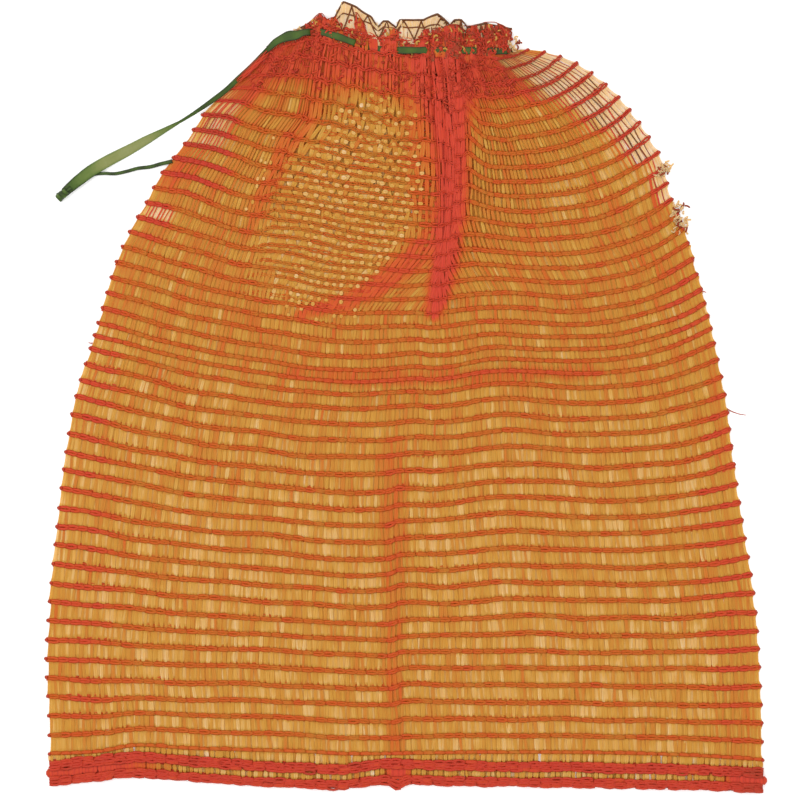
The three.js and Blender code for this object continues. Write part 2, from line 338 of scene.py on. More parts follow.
@dataclass
class NetPattern:
    """Where each stitch lies: the bag's outline, its rows, its gathers and its folds.

    Lists of pairs give a value by the share across the bag, from 0 at the left to 1 at the right,
    or by the rise, from 0 at the first row above the hem to 1 at the neck.
    """

    stitches: int = 67
    row_pitch: float = 25.4 / 3.0
    neck_rows: Pairs = ((0, 43), (0.46, 43), (0.56, 44), (0.66, 45), (1, 47))
    row_spacing: Pairs = ((0, 0), (0.44, 0.47), (0.58, 0.592), (0.75, 0.75), (1, 1))
    first_row: float = -172.3
    hem_wave: Pairs = (
        (0, 0), (0.07, 1), (0.125, 3.9), (0.2, 2.2), (0.35, 0.5), (0.43, -0.8), (0.63, 0), (1, 0),
    )
    hem_wave_rows: float = 3.5
    left_side: Pairs = (
        (-174.2, -173.2), (-174.8, -150), (-176, -127), (-174.6, -103), (-172, -76), (-168.6, -44),
        (-164.2, -12), (-160.4, 5), (-154.6, 24), (-148, 46), (-143, 63), (-138, 76), (-131.5, 88.5),
        (-126.2, 97.5), (-121.4, 107.3), (-115.5, 115.6), (-108.8, 124), (-104.2, 131.2), (-98.6, 140),
        (-93.4, 145.4), (-86.6, 151.2), (-80, 157.2), (-74.8, 162.6), (-69.6, 167.6), (-67.6, 168.8),
    )
    right_side: Pairs = (
        (173.8, -176.2), (173, -147), (171, -110), (168.4, -87), (163.2, -55), (158.8, -24), (155.8, 0),
        (151.4, 22), (145.8, 46), (136.5, 79), (129, 99), (124.6, 117), (119, 127), (111.6, 138),
        (102.5, 148.6), (95, 155.6), (90, 159.6), (83, 164), (75, 167.2), (65, 169.8), (57, 170.2),
        (51, 168.5),
    )
    left_climb: Pairs = ((0, 2.4), (0.6, 2.6), (0.8, 1.25), (1, 1.2))
    right_climb: float = 4.2
    row_sag: Pairs = (
        (0, 0), (0.06, -1.8), (0.12, -4.6), (0.2, -7.8), (0.3, -8), (0.45, -7.5), (0.56, -3), (0.66, 4),
        (0.8, 2.5), (1, 0),
    )
    shoulder_sag: Pairs = (
        (0, 0), (0.06, -0.4), (0.12, -2.2), (0.19, -3.6), (0.29, -1.6), (0.37, -2.6), (0.48, -4), (0.56, -2),
        (0.64, 0), (1, 0),
    )
    pleat_sag: Pairs = ((0, 0), (0.6, 0), (0.66, 4.5), (0.72, -3.5), (0.84, -1), (1, 0))
    settling: Span = (0.0, 0.45)
    shouldering: Span = (0.6, 0.8)
    drawn_tight: Span = (0.88, 1.0)
    draping: Window = ((0.7, 0.9), (0.95, 1.0))
    neck_line: Pairs = ((0, 166.5), (0.18, 173), (0.27, 171.5), (0.44, 166), (1, 166.5))
    neck_gather: Pairs = ((0, 0), (0.25, 0.27), (0.56, 0.744), (1, 1))
    cloth_width: float = 348.0
    pleats: tuple[Pleat, ...] = (
        Pleat(
            share=0.25,
            half_share=0.024,
            path=((0.6, -76), (0.7, -72), (0.8, -65), (0.88, -54), (0.91, -46), (1, -41)),
            width=3.0,
            start=0.72,
            full=0.84,
            folds=1,
            rise=0.8,
        ),
        Pleat(
            share=0.56,
            half_share=0.1,
            path=((0.6, 12), (0.63, 12.4), (0.67, 16.3), (0.73, 20), (0.8, 22), (0.87, 22), (1, 19)),
            width=11.5,
            start=0.6,
            full=0.78,
            folds=3,
            rise=2.6,
        ),
    )
    pleat_swing: float = 0.85
    pleat_fade: float = 0.05
    cloth: float = 2.6
    front_height: float = 0.8
    back_height: float = 0.64
    back_stack: float = 0.3
    back_ruffle: float = 0.35
    side_fold: float = 1.8
    side_share: float = 0.06
    side_height: float = 0.5
    side_closing: float = 0.035
    lowest: float = 0.55
    scallop: float = 1.3
    scallop_share: float = 0.009
    scallop_left: float = 0.6
    scallop_right: float = -1.5
    scallop_shoulder: float = -0.5
    scallop_shouldering: Span = (0.68, 0.8)
    neck_rise: float = 7.2
    neck_rise_start: float = 0.58
    crease_at: float = 0.537
    crease_half: float = 0.016
    crease_across: Window = ((0.3, 0.4), (0.76, 0.86))
    fold_at: float = 0.49
    fold_half: float = 0.022
    fold_rise: float = 0.8
    fold_ending: Span = (0.32, 0.42)
    fold_dip: float = 0.22
    dip_across: Window = ((0.3, 0.47), (0.482, 0.5))
    dip_rows: Span = (15.0, 19.0)
    phase_inset: float = 0.05
    plain_phase: float = 0.04
    brick_phase: float = 0.5
    brick_across: Window = ((0.2, 0.25), (0.53, 0.56))
    brick_upward: Window = ((0.63, 0.67), (0.96, 0.99))
    band_phase: float = 0.07
    band_across: Span = (0.17, 0.21)
    band_upward: Span = (0.4, 0.5)
    ruffle_edge: Pairs = (
        (-69, 171), (-63, 175.5), (-57, 178.5), (-51, 179.5), (-48, 183), (-44.7, 186), (-41.7, 188),
        (-39.3, 184.5), (-34.4, 186), (-29.5, 188.4), (-24.6, 188), (-21.7, 184), (-18.8, 180.6), (-7, 180.6),
        (-2, 178.6), (4, 178.6), (10.5, 180), (22, 182), (33.4, 181.5), (37.8, 183.5), (43.2, 183.5),
        (47, 182), (50, 180),
    )
    film_edge: Pairs = (
        (-69, 171), (-57, 178), (-48, 182.5), (-37.3, 184), (-34.4, 186), (-31.2, 193.5), (-24.2, 190.8),
        (-17.3, 186.3), (-15.7, 183), (-14.6, 180.8), (-12, 184), (-9, 184), (-4.1, 180.8), (-3, 184.6),
        (8.8, 184.6), (14.8, 187.5), (19.4, 183.3), (21.1, 180.8), (24, 184.6), (26.6, 184.6), (29.1, 180.8),
        (37.8, 183), (50, 180.5),
    )
    frill_flare: float = 1.0
    frill_edge: float = 3.2
    frill_fall: float = 1.5
    frill_row: float = 8.4
    frill_row_share: float = 0.62
    ruffles: float = 13.0
    ruffle_drift: float = 1.3
    ruffle_drift_turns: float = 9.0
    back_ruffle_phase: float = 1.1
    ruffle_height: float = 1.3
    frill_ruffle_height: float = 1.9
    ruffle_sway: float = 0.7
    ruffle_bob: float = 0.9
    gathering: Span = (0.78, 1.0)
    cinch: float = 0.6
    cinch_above_neck: float = 0.45
    cinch_rows: float = 0.5
    fold_lines: tuple[FoldLine, ...] = (
        FoldLine(((18.8, 166, 20), (19, 150, 13), (22, 122, 9.5), (22, 97, 8.5), (20, 73, 8),
                  (16.3, 53, 7), (13, 42, 4)), 1.0),
        FoldLine(((9, 152, 12), (8, 120, 11), (10, 92, 7)), 0.42),
        FoldLine(((-52, 41, 3.5), (-26.6, 48.3, 5), (-12.4, 56.6, 6.5), (1.7, 66.9, 7), (13, 79, 6)), 0.75),
        FoldLine(((-57, 13, 3), (-27.6, 10, 4.2), (36, 11, 4.8), (94, 14, 3.6)), 0.52),
        FoldLine(((-42, 156, 6), (-47, 141, 5), (-57, 124, 6), (-70, 98, 5), (-79, 78, 3)), 0.46),
        FoldLine(((-66, 164, 9), (-45, 169, 18), (-20, 169, 20), (20, 163, 28), (52, 162, 19)), 0.95),
        FoldLine(((-74, 156, 9), (-96, 132, 11), (-116, 110, 9)), 0.62),
        FoldLine(((-68, 162, 12), (-88, 145, 9)), 0.5),
        FoldLine(((-7, -25, 8), (-6, -80, 6.5), (-5.5, -176, 5)), 0.42),
        FoldLine(((-166, -178, 16), (-166, -120, 14), (-154, 0, 10)), 0.14),
        # This line along the right side is partly painted shade: its strength also darkens the lower right
        # corner where shade falls, besides the red of the folded net.
        FoldLine(((168, -178, 18), (166, -120, 14), (152, 30, 8)), 0.26),
    )
    open_patches: tuple[Patch, ...] = (
        Patch(78, 158, 28, 17, 1.0),
        Patch(101, 146, 26, 20, 1.0),
        Patch(115, 130, 17, 19, 1.0),
        Patch(127, 107, 10, 16, 0.9),
        Patch(53, 164, 11, 8, 0.9),
        Patch(-86, 145, 8, 7, 0.5),
        Patch(-91, 136, 11, 7, 0.7),
        Patch(-97, 126, 10, 8, 0.6),
        Patch(-121, 90, 9, 6, 0.6),
    )
    pale_patches: tuple[Patch, ...] = (
        Patch(-161, -65, 15, 115, 0.28),
        Patch(76, 101, 12, 16, 0.7),
        Patch(110, 128, 26, 30, 0.7),
        Patch(-88, 141, 11, 10, 0.9),
        Patch(-97, 126, 13, 12, 0.9),
        Patch(-118, 90, 11, 7, 0.8),
    )
    dense_patches: tuple[Patch, ...] = (
        Patch(-101, 122, 21, 26, 1.0),
        Patch(-126, 88, 13, 14, 0.7),
        Patch(-157, -75, 20, 105, 0.5),
        Patch(157, -75, 20, 105, 0.5),
        Patch(-150, 30, 14, 55, 0.55),
        Patch(138, 50, 16, 30, 0.55),
    )
    paired_patches: tuple[Patch, ...] = (
        Patch(-161, -65, 17, 120, 1.0),
        Patch(160, -80, 14, 80, 0.8),
        Patch(76, 101, 12, 16, 0.5),
        Patch(-93, 133, 14, 18, 0.8),
    )
    zigzag_patches: tuple[Patch, ...] = (
        Patch(-41, 86, 40, 52, 1.0),
        Patch(-16, 112, 28, 42, 1.0),
    )
    red_tone: float = 0.66
    row_wave: dict[Layer, Ripple] = field(
        default_factory=lambda: {Layer.FRONT: Ripple(3), Layer.BACK: Ripple(8)}
    )
    row_wave_height: float = 0.055
    even_hem_rows: float = 2.0
    even_neck_rows: float = 3.0
    normal_stitches: float = 0.25
    normal_rows: float = 0.12
    samples: int = 1200

    def __post_init__(self) -> None:
        """Sample the two sides once."""
        self._rises = np.linspace(0.0, 1.0, self.samples)
        self._left = curve_points(self.left_side, self.samples)
        self._right = curve_points(self.right_side, self.samples)

    @property
    def main_fold(self) -> FoldLine:
        """Give the red line along the main pleat."""
        return self.fold_lines[0]

    def all_rows(self) -> Array:
        """Number the rows from the hem to the frill's edge."""
        return np.arange(math.ceil(self.neck_rows[-1][1]) + FRILL_ROWS)

    def neck_level(self, share: Any) -> Any:
        """Give how many rows lie between the hem and the neck, at a share across the bag."""
        return flow(self.neck_rows, share)

    def side_points(self, rise: Any) -> tuple[Array, Array, Array, Array]:
        """Give x and y of the left side and x and y of the right side at a rise."""
        curves = (self._left[:, 0], self._left[:, 1], self._right[:, 0], self._right[:, 1])
        return tuple(np.interp(rise, self._rises, curve) for curve in curves)

    def row_level(self, share: Any, rise: Any) -> Any:
        """Give the height up the page of a row's sagging middle.

        Args:
            share: Place across the bag, from 0 to 1.
            rise: Place from the first row at 0 to the neck at 1.

        Returns:
            The height in millimetres, before the row climbs to the bag's sides.
        """
        straight = blend(self.first_row, flow(self.neck_line, share), rise)
        loose = 1.0 - ease(rise, *self.drawn_tight)
        settled = ease(rise, *self.settling) * loose
        shoulder = ease(rise, *self.shouldering) * loose
        draped = window(rise, *self.draping)
        sag = flow(self.row_sag, share) * settled + flow(self.shoulder_sag, share) * shoulder
        return straight + sag + flow(self.pleat_sag, share) * draped

    def cloth_place(self, share: Any, rise: Any) -> tuple[Array, Array]:
        """Place a point of the cloth between the hem and the neck.

        Args:
            share: Place across the bag, from 0 at the left side to 1 at the right side.
            rise: Place from the first row at 0 to the neck at 1.

        Returns:
            The point's x and y in millimetres.
        """
        left_x, left_y, right_x, right_y = self.side_points(rise)
        share_knots = [0.0]
        x_knots = [left_x]
        folding = 0.0
        for pleat in self.pleats:
            half = pleat.half_at(rise)
            width = pleat.width_at(rise, right_x - left_x)
            closed = pleat.closed_at(rise)
            middle = blend(blend(left_x, right_x, pleat.share), along(pleat.path, rise), closed)
            share_knots += [pleat.share - half, pleat.share + half]
            x_knots += [middle - width / 2.0, middle + width / 2.0]
            turn = np.clip((share - pleat.share) / half, -1.0, 1.0)
            swing = self.pleat_swing * self.cloth_width * half / (math.pi * pleat.folds) * closed
            folding = folding - swing * np.sin(math.pi * pleat.folds * turn)
        share_knots.append(1.0)
        x_knots.append(right_x)
        x = left_x + folding
        for start, end, low, high in zip(share_knots, share_knots[1:], x_knots, x_knots[1:]):
            x = x + (high - low) * np.clip((share - start) / (end - start), 0.0, 1.0)
        offset = np.clip(2.0 * share - 1.0, -1.0, 1.0)
        climb_left = (left_y - self.row_level(0.0, rise)) * np.abs(offset) ** flow(self.left_climb, rise)
        climb_right = (right_y - self.row_level(1.0, rise)) * np.abs(offset) ** self.right_climb
        climb = np.where(offset < 0.0, climb_left, climb_right)
        return x, self.row_level(share, rise) + climb

    def cloth_height(self, share: Any, rise: Any) -> Any:
        """Give the height of the bag's upper face above the floor.

        Args:
            share: Place across the bag, from 0 to 1.
            rise: Place from the first row at 0 to the neck at 1.

        Returns:
            The height in millimetres, with the centre fold and the cross crease, without the pleats.
        """
        inward = ease(inset(share), 0.0, self.side_share)
        arch = np.sqrt(np.sin(math.pi * np.clip(share, 0.0, 1.0)))
        neck = ease(rise, self.neck_rise_start, 1.0) ** 2 * arch
        folded = 1.0 - ease(rise, *self.fold_ending)
        fold = self.fold_rise * folded * ridge((share - self.fold_at) / self.fold_half)
        creased = window(share, *self.crease_across)
        crease = creased * ridge((rise - self.crease_at) / self.crease_half)
        return blend(self.side_fold, self.cloth, inward) + self.neck_rise * neck + fold + crease

    def row_phase(self, share: Any, rise: Any) -> Any:
        """Give how far the back layer's rows lie above the front layer's.

        Args:
            share: Place across the bag, from 0 to 1.
            rise: Place from the first row at 0 to the neck at 1.

        Returns:
            The distance in rows, which is near a half where the two layers make a brick pattern.
        """
        inside = ease(inset(share), 0.0, self.phase_inset)
        brick = window(share, *self.brick_across) * window(rise, *self.brick_upward)
        left_band = (1.0 - ease(share, *self.band_across)) * (1.0 - ease(rise, *self.band_upward))
        return inside * (self.brick_phase * brick + self.band_phase * left_band + self.plain_phase)

    def row_dip(self, share: Any, level: Any) -> Any:
        """Give how far the rows sink on their way to the centre fold, in rows."""
        return self.fold_dip * window(share, *self.dip_across) * (1.0 - ease(level, *self.dip_rows))

    def row_rise(self, share: Array, level: Array, layer: Layer) -> Array:
        """Turn levels into rises, with each layer's own unevenness.

        Args:
            share: Places across the bag, from 0 to 1.
            level: Places up the bag, in rows.
            layer: Which of the two layers.

        Returns:
            Places from the first row at 0 to the neck at 1.
        """
        neck = self.neck_level(share)
        low = np.minimum(level, neck)
        in_field = ease(low, 0.0, self.even_hem_rows) * (1.0 - ease(low - neck, -self.even_neck_rows, 0.0))
        wave = self.row_wave[layer].at(share, level) * self.row_wave_height
        shifted = low + (wave - self.row_dip(share, low)) * in_field
        if layer is Layer.BACK:
            shifted = shifted + self.row_phase(share, low / neck) * in_field
        return flow(self.row_spacing, shifted / neck)

    def side_bulge(self, share: Array, level: Array, rise: Array) -> Array:
        """Give how far the net's sides stand in or out between two rows.

        Args:
            share: Places across the bag, from 0 to 1.
            level: Places up the bag, in rows.
            rise: The same places, from the first row at 0 to the neck at 1.

        Returns:
            Distances to the right, in millimetres.
        """
        beside = np.exp(-inset(share) / self.scallop_share)
        right = self.scallop_right + self.scallop_shoulder * ease(rise, *self.scallop_shouldering)
        opened = np.where(share < 0.5, self.scallop_left, right)
        return self.scallop * beside * opened * np.sin(math.pi * level) ** 2

    def pleat_height(self, share: Array, rise: Array) -> Array:
        """Give how high the net is stacked in the pleats and beside them.

        Args:
            share: Places across the bag, from 0 to 1.
            rise: Places from the first row at 0 to the neck at 1.

        Returns:
            Heights in millimetres.
        """
        stacked = 0.0
        for pleat in self.pleats:
            half = pleat.half_at(rise)
            past = share - pleat.share - half
            inside = 1.0 + np.maximum(past / half, -2.0) / 2.0
            beyond = np.exp(-np.maximum(past, 0.0) / self.pleat_fade)
            stacked = stacked + pleat.rise * np.where(past < 0.0, inside, beyond) * pleat.closed_at(rise)
        return stacked

    def surface(self, share: Any, level: Any, layer: Layer) -> Array:
        """Place points of one layer of the net, with its folds, kinks and ruffles.

        Args:
            share: Places across the bag, from 0 to 1.
            level: Places up the bag in rows: 0 is the first row above the hem, and the frill's
                edge is two rows above the neck.
            layer: Which of the two layers.

        Returns:
            Points in millimetres, one along the last axis.
        """
        share, level = np.broadcast_arrays(np.asarray(share, float), np.asarray(level, float))
        neck = self.neck_level(share)
        rise = self.row_rise(share, level, layer)
        x, y = self.cloth_place(share, rise)
        beside_hem = 1.0 - ease(np.minimum(level, neck), 0.0, self.hem_wave_rows)
        y = y + flow(self.hem_wave, share) * beside_hem
        x = x + self.side_bulge(share, level, rise)

        up = np.clip(level - neck, 0.0, FRILL_ROWS)
        out = up / FRILL_ROWS
        x = x + self.frill_flare * (share - 0.5) * out**2
        reach = self.frill_top(x, layer) - y
        first = np.minimum(self.frill_row, self.frill_row_share * reach)
        y = y + np.where(up < 1.0, up * first, blend(first, reach, up - 1.0))
        top = blend(self.cloth_height(share, rise), self.frill_edge, out**self.frill_fall)

        phase = FULL_TURN * self.ruffles * along(self.neck_gather, share)
        phase = phase + self.ruffle_drift * np.sin(self.ruffle_drift_turns * share)
        phase = phase + self.back_ruffle_phase * layer.index
        swell = ease(rise, *self.gathering) * np.sin(math.pi * share)
        x = x + self.ruffle_sway * np.cos(phase) * swell
        y = y + self.ruffle_bob * np.sin(2.0 * phase) * swell * (1.0 - out)
        above_cinch = (level - neck - self.cinch_above_neck) / self.cinch_rows
        cinched = 1.0 - self.cinch * np.exp(-(above_cinch**2))
        ruffle = blend(self.ruffle_height, self.frill_ruffle_height, out) * np.sin(phase) * swell * cinched

        stacked = self.pleat_height(share, rise)
        if layer is Layer.FRONT:
            inner = self.front_height * top + stacked + ruffle
        else:
            inner = self.back_height * top + self.back_stack * stacked + self.back_ruffle * np.abs(ruffle)
        z = blend(self.side_height * top, inner, ease(inset(share), 0.0, self.side_closing))
        return np.stack([x, y, np.maximum(z, self.lowest)], axis=-1)

    def frill_top(self, x: Any, layer: Layer) -> Any:
        """Give the height up the page of the frill's edge, at a place across the neck."""
        return along(self.ruffle_edge if layer is Layer.FRONT else self.film_edge, x)

    def normal(self, share: Any, level: Any, layer: Layer) -> Array:
        """Give the direction that the layer's upper face looks in.

        Args:
            share: Places across the bag, from 0 to 1.
            level: Places up the bag, in rows.
            layer: Which of the two layers.

        Returns:
            Vectors of length 1, one along the last axis.
        """
        across = self.normal_stitches / self.stitches
        up = self.normal_rows
        right = self.surface(share + across, level, layer) - self.surface(share - across, level, layer)
        above = self.surface(share, level + up, layer) - self.surface(share, level - up, layer)
        return unit(np.cross(right, above))

    def redden(self, points: Array, tone: Any, share_of_red: Any) -> Array:
        """Shift a tone towards red where the net lies in folds."""
        red = together(self.fold_lines, points[..., 0], points[..., 1])
        return blend(tone, self.red_tone, share_of_red * red)


STRAND_SECTION = ((1.0, 0.0), (0.0, 1.0), (-1.0, 0.0), (0.0, -1.0))
TONE_RANGE: Span = (0.03, 0.97)

# The map's faces need some area to be baked, so each ring's and each cap's tone is spread a little.
RING_SPREAD = 0.006
CAP_SPREAD = 0.004


@dataclass
class Strips:
    """Many closed strips in one mesh, each a section carried along a line."""

    points: list[Array] = field(default_factory=list)
    quads: list[NDArray[np.int64]] = field(default_factory=list)
    maps: list[Array] = field(default_factory=list)
    count: int = 0

    def add(
        self,
        lines: Array,
        ups: Array,
        half_width: Any,
        half_height: Any,
        tone: Any,
        section: Sequence[tuple[float, float]] = STRAND_SECTION,
    ) -> Strips:
        """Add strips that all have the same number of stations.

        Args:
            lines: Centre lines in millimetres, by strip, station and axis, or one line alone.
            ups: The direction of each station's upper face, of the same shape.
            half_width: Half of each station's width, by strip and station.
            half_height: Half of each station's thickness, by strip and station.
            tone: Each station's place on the finish's colour scale, by strip and station.
            section: The section's corners, anticlockwise, on a scale of 1.

        Returns:
            These strips, with the new ones.
        """
        lines = lines.reshape(-1, *lines.shape[-2:])
        ups = ups.reshape(lines.shape)
        strips, stations, _ = lines.shape
        corners = np.asarray(section)
        sides = len(corners)
        along_line = unit(np.gradient(lines, axis=1))
        across = unit(np.cross(ups, along_line))
        upward = np.cross(along_line, across)
        shape = (strips, stations)
        width = np.broadcast_to(half_width, shape)[..., None, None] * corners[:, :1]
        height = np.broadcast_to(half_height, shape)[..., None, None] * corners[:, 1:]
        rings = lines[:, :, None] + across[:, :, None] * width + upward[:, :, None] * height

        ring = np.arange(sides)
        after = (ring + 1) % sides
        start = (np.arange(strips)[:, None] * stations + np.arange(stations - 1)) * sides + self.count
        wall = np.stack([ring, after, after + sides, ring + sides], axis=-1)
        walls = (start[..., None, None] + wall).reshape(-1, 4)
        first = np.arange(strips)[:, None] * stations * sides + self.count
        last = first + (stations - 1) * sides
        pairs = range(sides // 2 - 1)
        cap = np.array([(turn, turn + 1, sides - 2 - turn, sides - 1 - turn) for turn in pairs])
        caps = [(first[..., None] + cap[:, ::-1]).reshape(-1, 4), (last[..., None] + cap).reshape(-1, 4)]

        ripple = RING_SPREAD * np.where(np.arange(stations) % 2 == 0, 1.0, -1.0)
        tones = np.clip(np.broadcast_to(tone, shape), *TONE_RANGE) + ripple
        low, high = tones[:, :-1, None], tones[:, 1:, None]
        turns = np.stack([ring, ring + 1, ring + 1, ring], axis=-1) / sides
        wall_u = np.broadcast_to(turns, (strips, stations - 1, sides, 4))
        wall_v = np.stack([low, low, high, high], axis=-1)
        wall_v = np.broadcast_to(wall_v, (strips, stations - 1, sides, 4))
        cap_u = np.broadcast_to(cap / sides, (strips, len(cap), 4))
        spread = CAP_SPREAD * np.array([-1.0, -1.0, 1.0, 1.0])
        start_v = np.broadcast_to(tones[:, :1, None] + spread, (strips, len(cap), 4))
        end_v = np.broadcast_to(tones[:, -1:, None] + spread, (strips, len(cap), 4))
        self.points.append(rings.reshape(-1, 3))
        self.quads.extend([walls, *caps])
        self.maps.append(np.stack([wall_u, wall_v], axis=-1).reshape(-1, 2))
        self.maps.append(np.stack([cap_u[:, :, ::-1], start_v], axis=-1).reshape(-1, 2))
        self.maps.append(np.stack([cap_u, end_v], axis=-1).reshape(-1, 2))
        self.count += strips * stations * sides
        return self

    def make(self, name: str, material: bpy.types.Material, smooth: bool = True) -> bpy.types.Object:
        """Write the strips as one object in metres, in the part's frame.

        Args:
            name: The new object's name.
            material: The finish of all its strips.
            smooth: Whether the strips look round, rather than flat.

        Returns:
            The object, linked to the scene.
        """
        points = (np.concatenate(self.points) + PATTERN_SHIFT) * METRE
        points[:, 2] = np.maximum(points[:, 2], FLOOR_CLEARANCE)
        quads = np.concatenate(self.quads)
        mesh = bpy.data.meshes.new(name)
        mesh.vertices.add(len(points))
        mesh.vertices.foreach_set("co", points.astype(np.float32).ravel())
        mesh.loops.add(quads.size)
        mesh.loops.foreach_set("vertex_index", quads.astype(np.int32).ravel())
        mesh.polygons.add(len(quads))
        mesh.polygons.foreach_set("loop_start", np.arange(0, quads.size, 4, dtype=np.int32))
        mesh.polygons.foreach_set("use_smooth", np.full(len(quads), smooth))
        layer = mesh.uv_layers.new(name=BAKE_MAP)
        layer.uv.foreach_set("vector", np.concatenate(self.maps).astype(np.float32).ravel())
        mesh.update(calc_edges=True)
        mesh.materials.append(material)
        piece = bpy.data.objects.new(name, mesh)
        bpy.context.scene.collection.objects.link(piece)
        return piece


class Wire:
    """A shader socket that takes part in Python expressions."""

    def __init__(self, tree: bpy.types.NodeTree, socket: bpy.types.NodeSocket) -> None:
        """Keep the socket and the tree that it is in."""
        self.tree = tree
        self.socket = socket

    def _maths(self, operation: str, first: Any, second: Any) -> Wire:
        """Add a Math node for one operation on two values."""
        return Shader.node(self.tree, "ShaderNodeMath", {"operation": operation}, {0: first, 1: second})

    def __add__(self, other: Any) -> Wire:
        """Add another value."""
        return self._maths("ADD", self, other)

    def __radd__(self, other: Any) -> Wire:
        """Be added to a number."""
        return self._maths("ADD", other, self)

    def __sub__(self, other: Any) -> Wire:
        """Take another value away."""
        return self._maths("SUBTRACT", self, other)

    def __rsub__(self, other: Any) -> Wire:
        """Be taken away from a number."""
        return self._maths("SUBTRACT", other, self)

    def __mul__(self, other: Any) -> Wire:
        """Multiply by another value."""
        return self._maths("MULTIPLY", self, other)

    def __rmul__(self, other: Any) -> Wire:
        """Be multiplied by a number."""
        return self._maths("MULTIPLY", other, self)

    def cosine(self) -> Wire:
        """Take the cosine of an angle in radians."""
        return self._maths("COSINE", self, 0.0)


class Shader:
    """Helpers that build a material's nodes."""

    @staticmethod
    def node(
        tree: bpy.types.NodeTree,
        kind: str,
        settings: dict[str, Any] | None = None,
        inputs: dict[Any, Any] | None = None,
    ) -> Wire:
        """Add one node.

        Args:
            tree: The tree that the node goes in.
            kind: The node's type.
            settings: Its own settings, set first; "stops" fills a colour ramp.
            inputs: Values or wires for its sockets.

        Returns:
            Its first output as a wire, or an empty wire where it has none.
        """
        made = tree.nodes.new(kind)
        for name, value in (settings or {}).items():
            if name == "stops":
                Shader.fill_ramp(made.color_ramp, value)
            else:
                setattr(made, name, value)
        for name, value in (inputs or {}).items():
            if isinstance(value, Wire):
                tree.links.new(value.socket, made.inputs[name])
            else:
                made.inputs[name].default_value = value
        return Wire(tree, made.outputs[0] if len(made.outputs) else None)

    @staticmethod
    def fill_ramp(ramp: bpy.types.ColorRamp, stops: Sequence[tuple[float, str]]) -> None:
        """Give a colour ramp its stops.

        Args:
            ramp: The ramp.
            stops: Places from 0 to 1, each with its colour.
        """
        while len(ramp.elements) < len(stops):
            ramp.elements.new(1.0)
        for element, (place, colour) in zip(ramp.elements, stops):
            element.position = place
            element.color = paint(colour)


def paint(colour: str) -> tuple[float, float, float, float]:
    """Undo the sRGB curve of a colour.

    Args:
        colour: A colour such as #c98138.

    Returns:
        The linear values that shaders take, with full cover.
    """
    values = [int(colour[start:start + 2], 16) / 255.0 for start in (1, 3, 5)]
    linear = [value / 12.92 if value <= 0.04045 else ((value + 0.055) / 1.055) ** 2.4 for value in values]
    return (*linear, 1.0)


@dataclass(frozen=True)
class FilmFinish:
    """Drawn plastic film whose colour follows each strip's tone, from pale single film to dense folds.

    Streaks are counted around a strip and over the whole range of tones.
    """

    name: str
    stops: tuple[tuple[float, str], ...]
    light_through: float
    through_colour: str
    roughness: float = 0.42
    gloss: float = 0.4
    streaks: float = 9.0
    edge_tone: float = 0.0
    fibrils: float = 1.0
    tone_streaks: float = 26.0
    streak_scale: float = 1.0
    streak_detail: float = 3.0
    streak_depth: float = 0.12
    fine_scale: float = 3.7
    fine_detail: float = 2.0
    uneven_roughness: float = 0.3
    bump: float = 0.35
    bump_distance: float = 0.0003

    @staticmethod
    def noise(place: Wire, scale: float, detail: float) -> Wire:
        """Add flat noise, whose values lie around one half."""
        inputs = {"Vector": place, "Scale": scale, "Detail": detail}
        return Shader.node(place.tree, "ShaderNodeTexNoise", {"noise_dimensions": "2D"}, inputs)

    def make(self) -> bpy.types.Material:
        """Build the material.

        Returns:
            A material that reads the strips' own map: around the strip, and tone.
        """
        material = bpy.data.materials.new(self.name)
        material.use_nodes = True
        tree = material.node_tree
        tree.nodes.clear()
        place = Shader.node(tree, "ShaderNodeUVMap", {"uv_map": BAKE_MAP})
        parts = Shader.node(tree, "ShaderNodeSeparateXYZ", None, {0: place}).socket.node.outputs
        around = Wire(tree, parts["X"])
        tone = Wire(tree, parts["Y"])
        beside = (FULL_TURN * self.fibrils * around).cosine()
        edge = beside * beside * beside * beside * tone * (1.0 - tone)
        scaled = {0: place, 1: (self.streaks, self.tone_streaks, 1.0)}
        stretched = Shader.node(tree, "ShaderNodeVectorMath", {"operation": "MULTIPLY"}, scaled)
        streak = self.noise(stretched, self.streak_scale, self.streak_detail)
        fine = self.noise(stretched, self.fine_scale, self.fine_detail)
        shade = tone + (streak - 0.5) * self.streak_depth + edge * self.edge_tone
        colour = Shader.node(tree, "ShaderNodeValToRGB", {"stops": self.stops}, {"Fac": shade})
        relief = {"Strength": self.bump, "Distance": self.bump_distance, "Height": fine}
        look = {
            "Base Color": colour,
            "Roughness": self.roughness + self.uneven_roughness * (fine - 0.5),
            "Specular IOR Level": self.gloss,
            "Normal": Shader.node(tree, "ShaderNodeBump", None, relief),
        }
        film = Shader.node(tree, "ShaderNodeBsdfPrincipled", None, look)
        through = Shader.node(tree, "ShaderNodeBsdfTranslucent", None, {"Color": paint(self.through_colour)})
        passing = self.light_through * (1.0 - tone)
        mixed = Shader.node(tree, "ShaderNodeMixShader", None, {0: passing, 1: film, 2: through})
        Shader.node(tree, "ShaderNodeOutputMaterial", None, {"Surface": mixed})
        return material


NET_FILM = FilmFinish(
    name="net_film",
    stops=(
        (0.0, "#fff6e2"),
        (0.05, "#f4d696"),
        (0.12, "#e6b85e"),
        (0.2, "#d8a340"),
        (0.3, "#d18c34"),
        (0.4, "#d27628"),
        (0.5, "#d45e1c"),
        (0.68, "#d23e2b"),
        (0.84, "#a2361c"),
        (0.92, "#7c4220"),
        (1.0, "#563618"),
    ),
    light_through=0.5,
    through_colour="#f6d28a",
    gloss=0.22,
    edge_tone=0.42,
    fibrils=2.0,
)

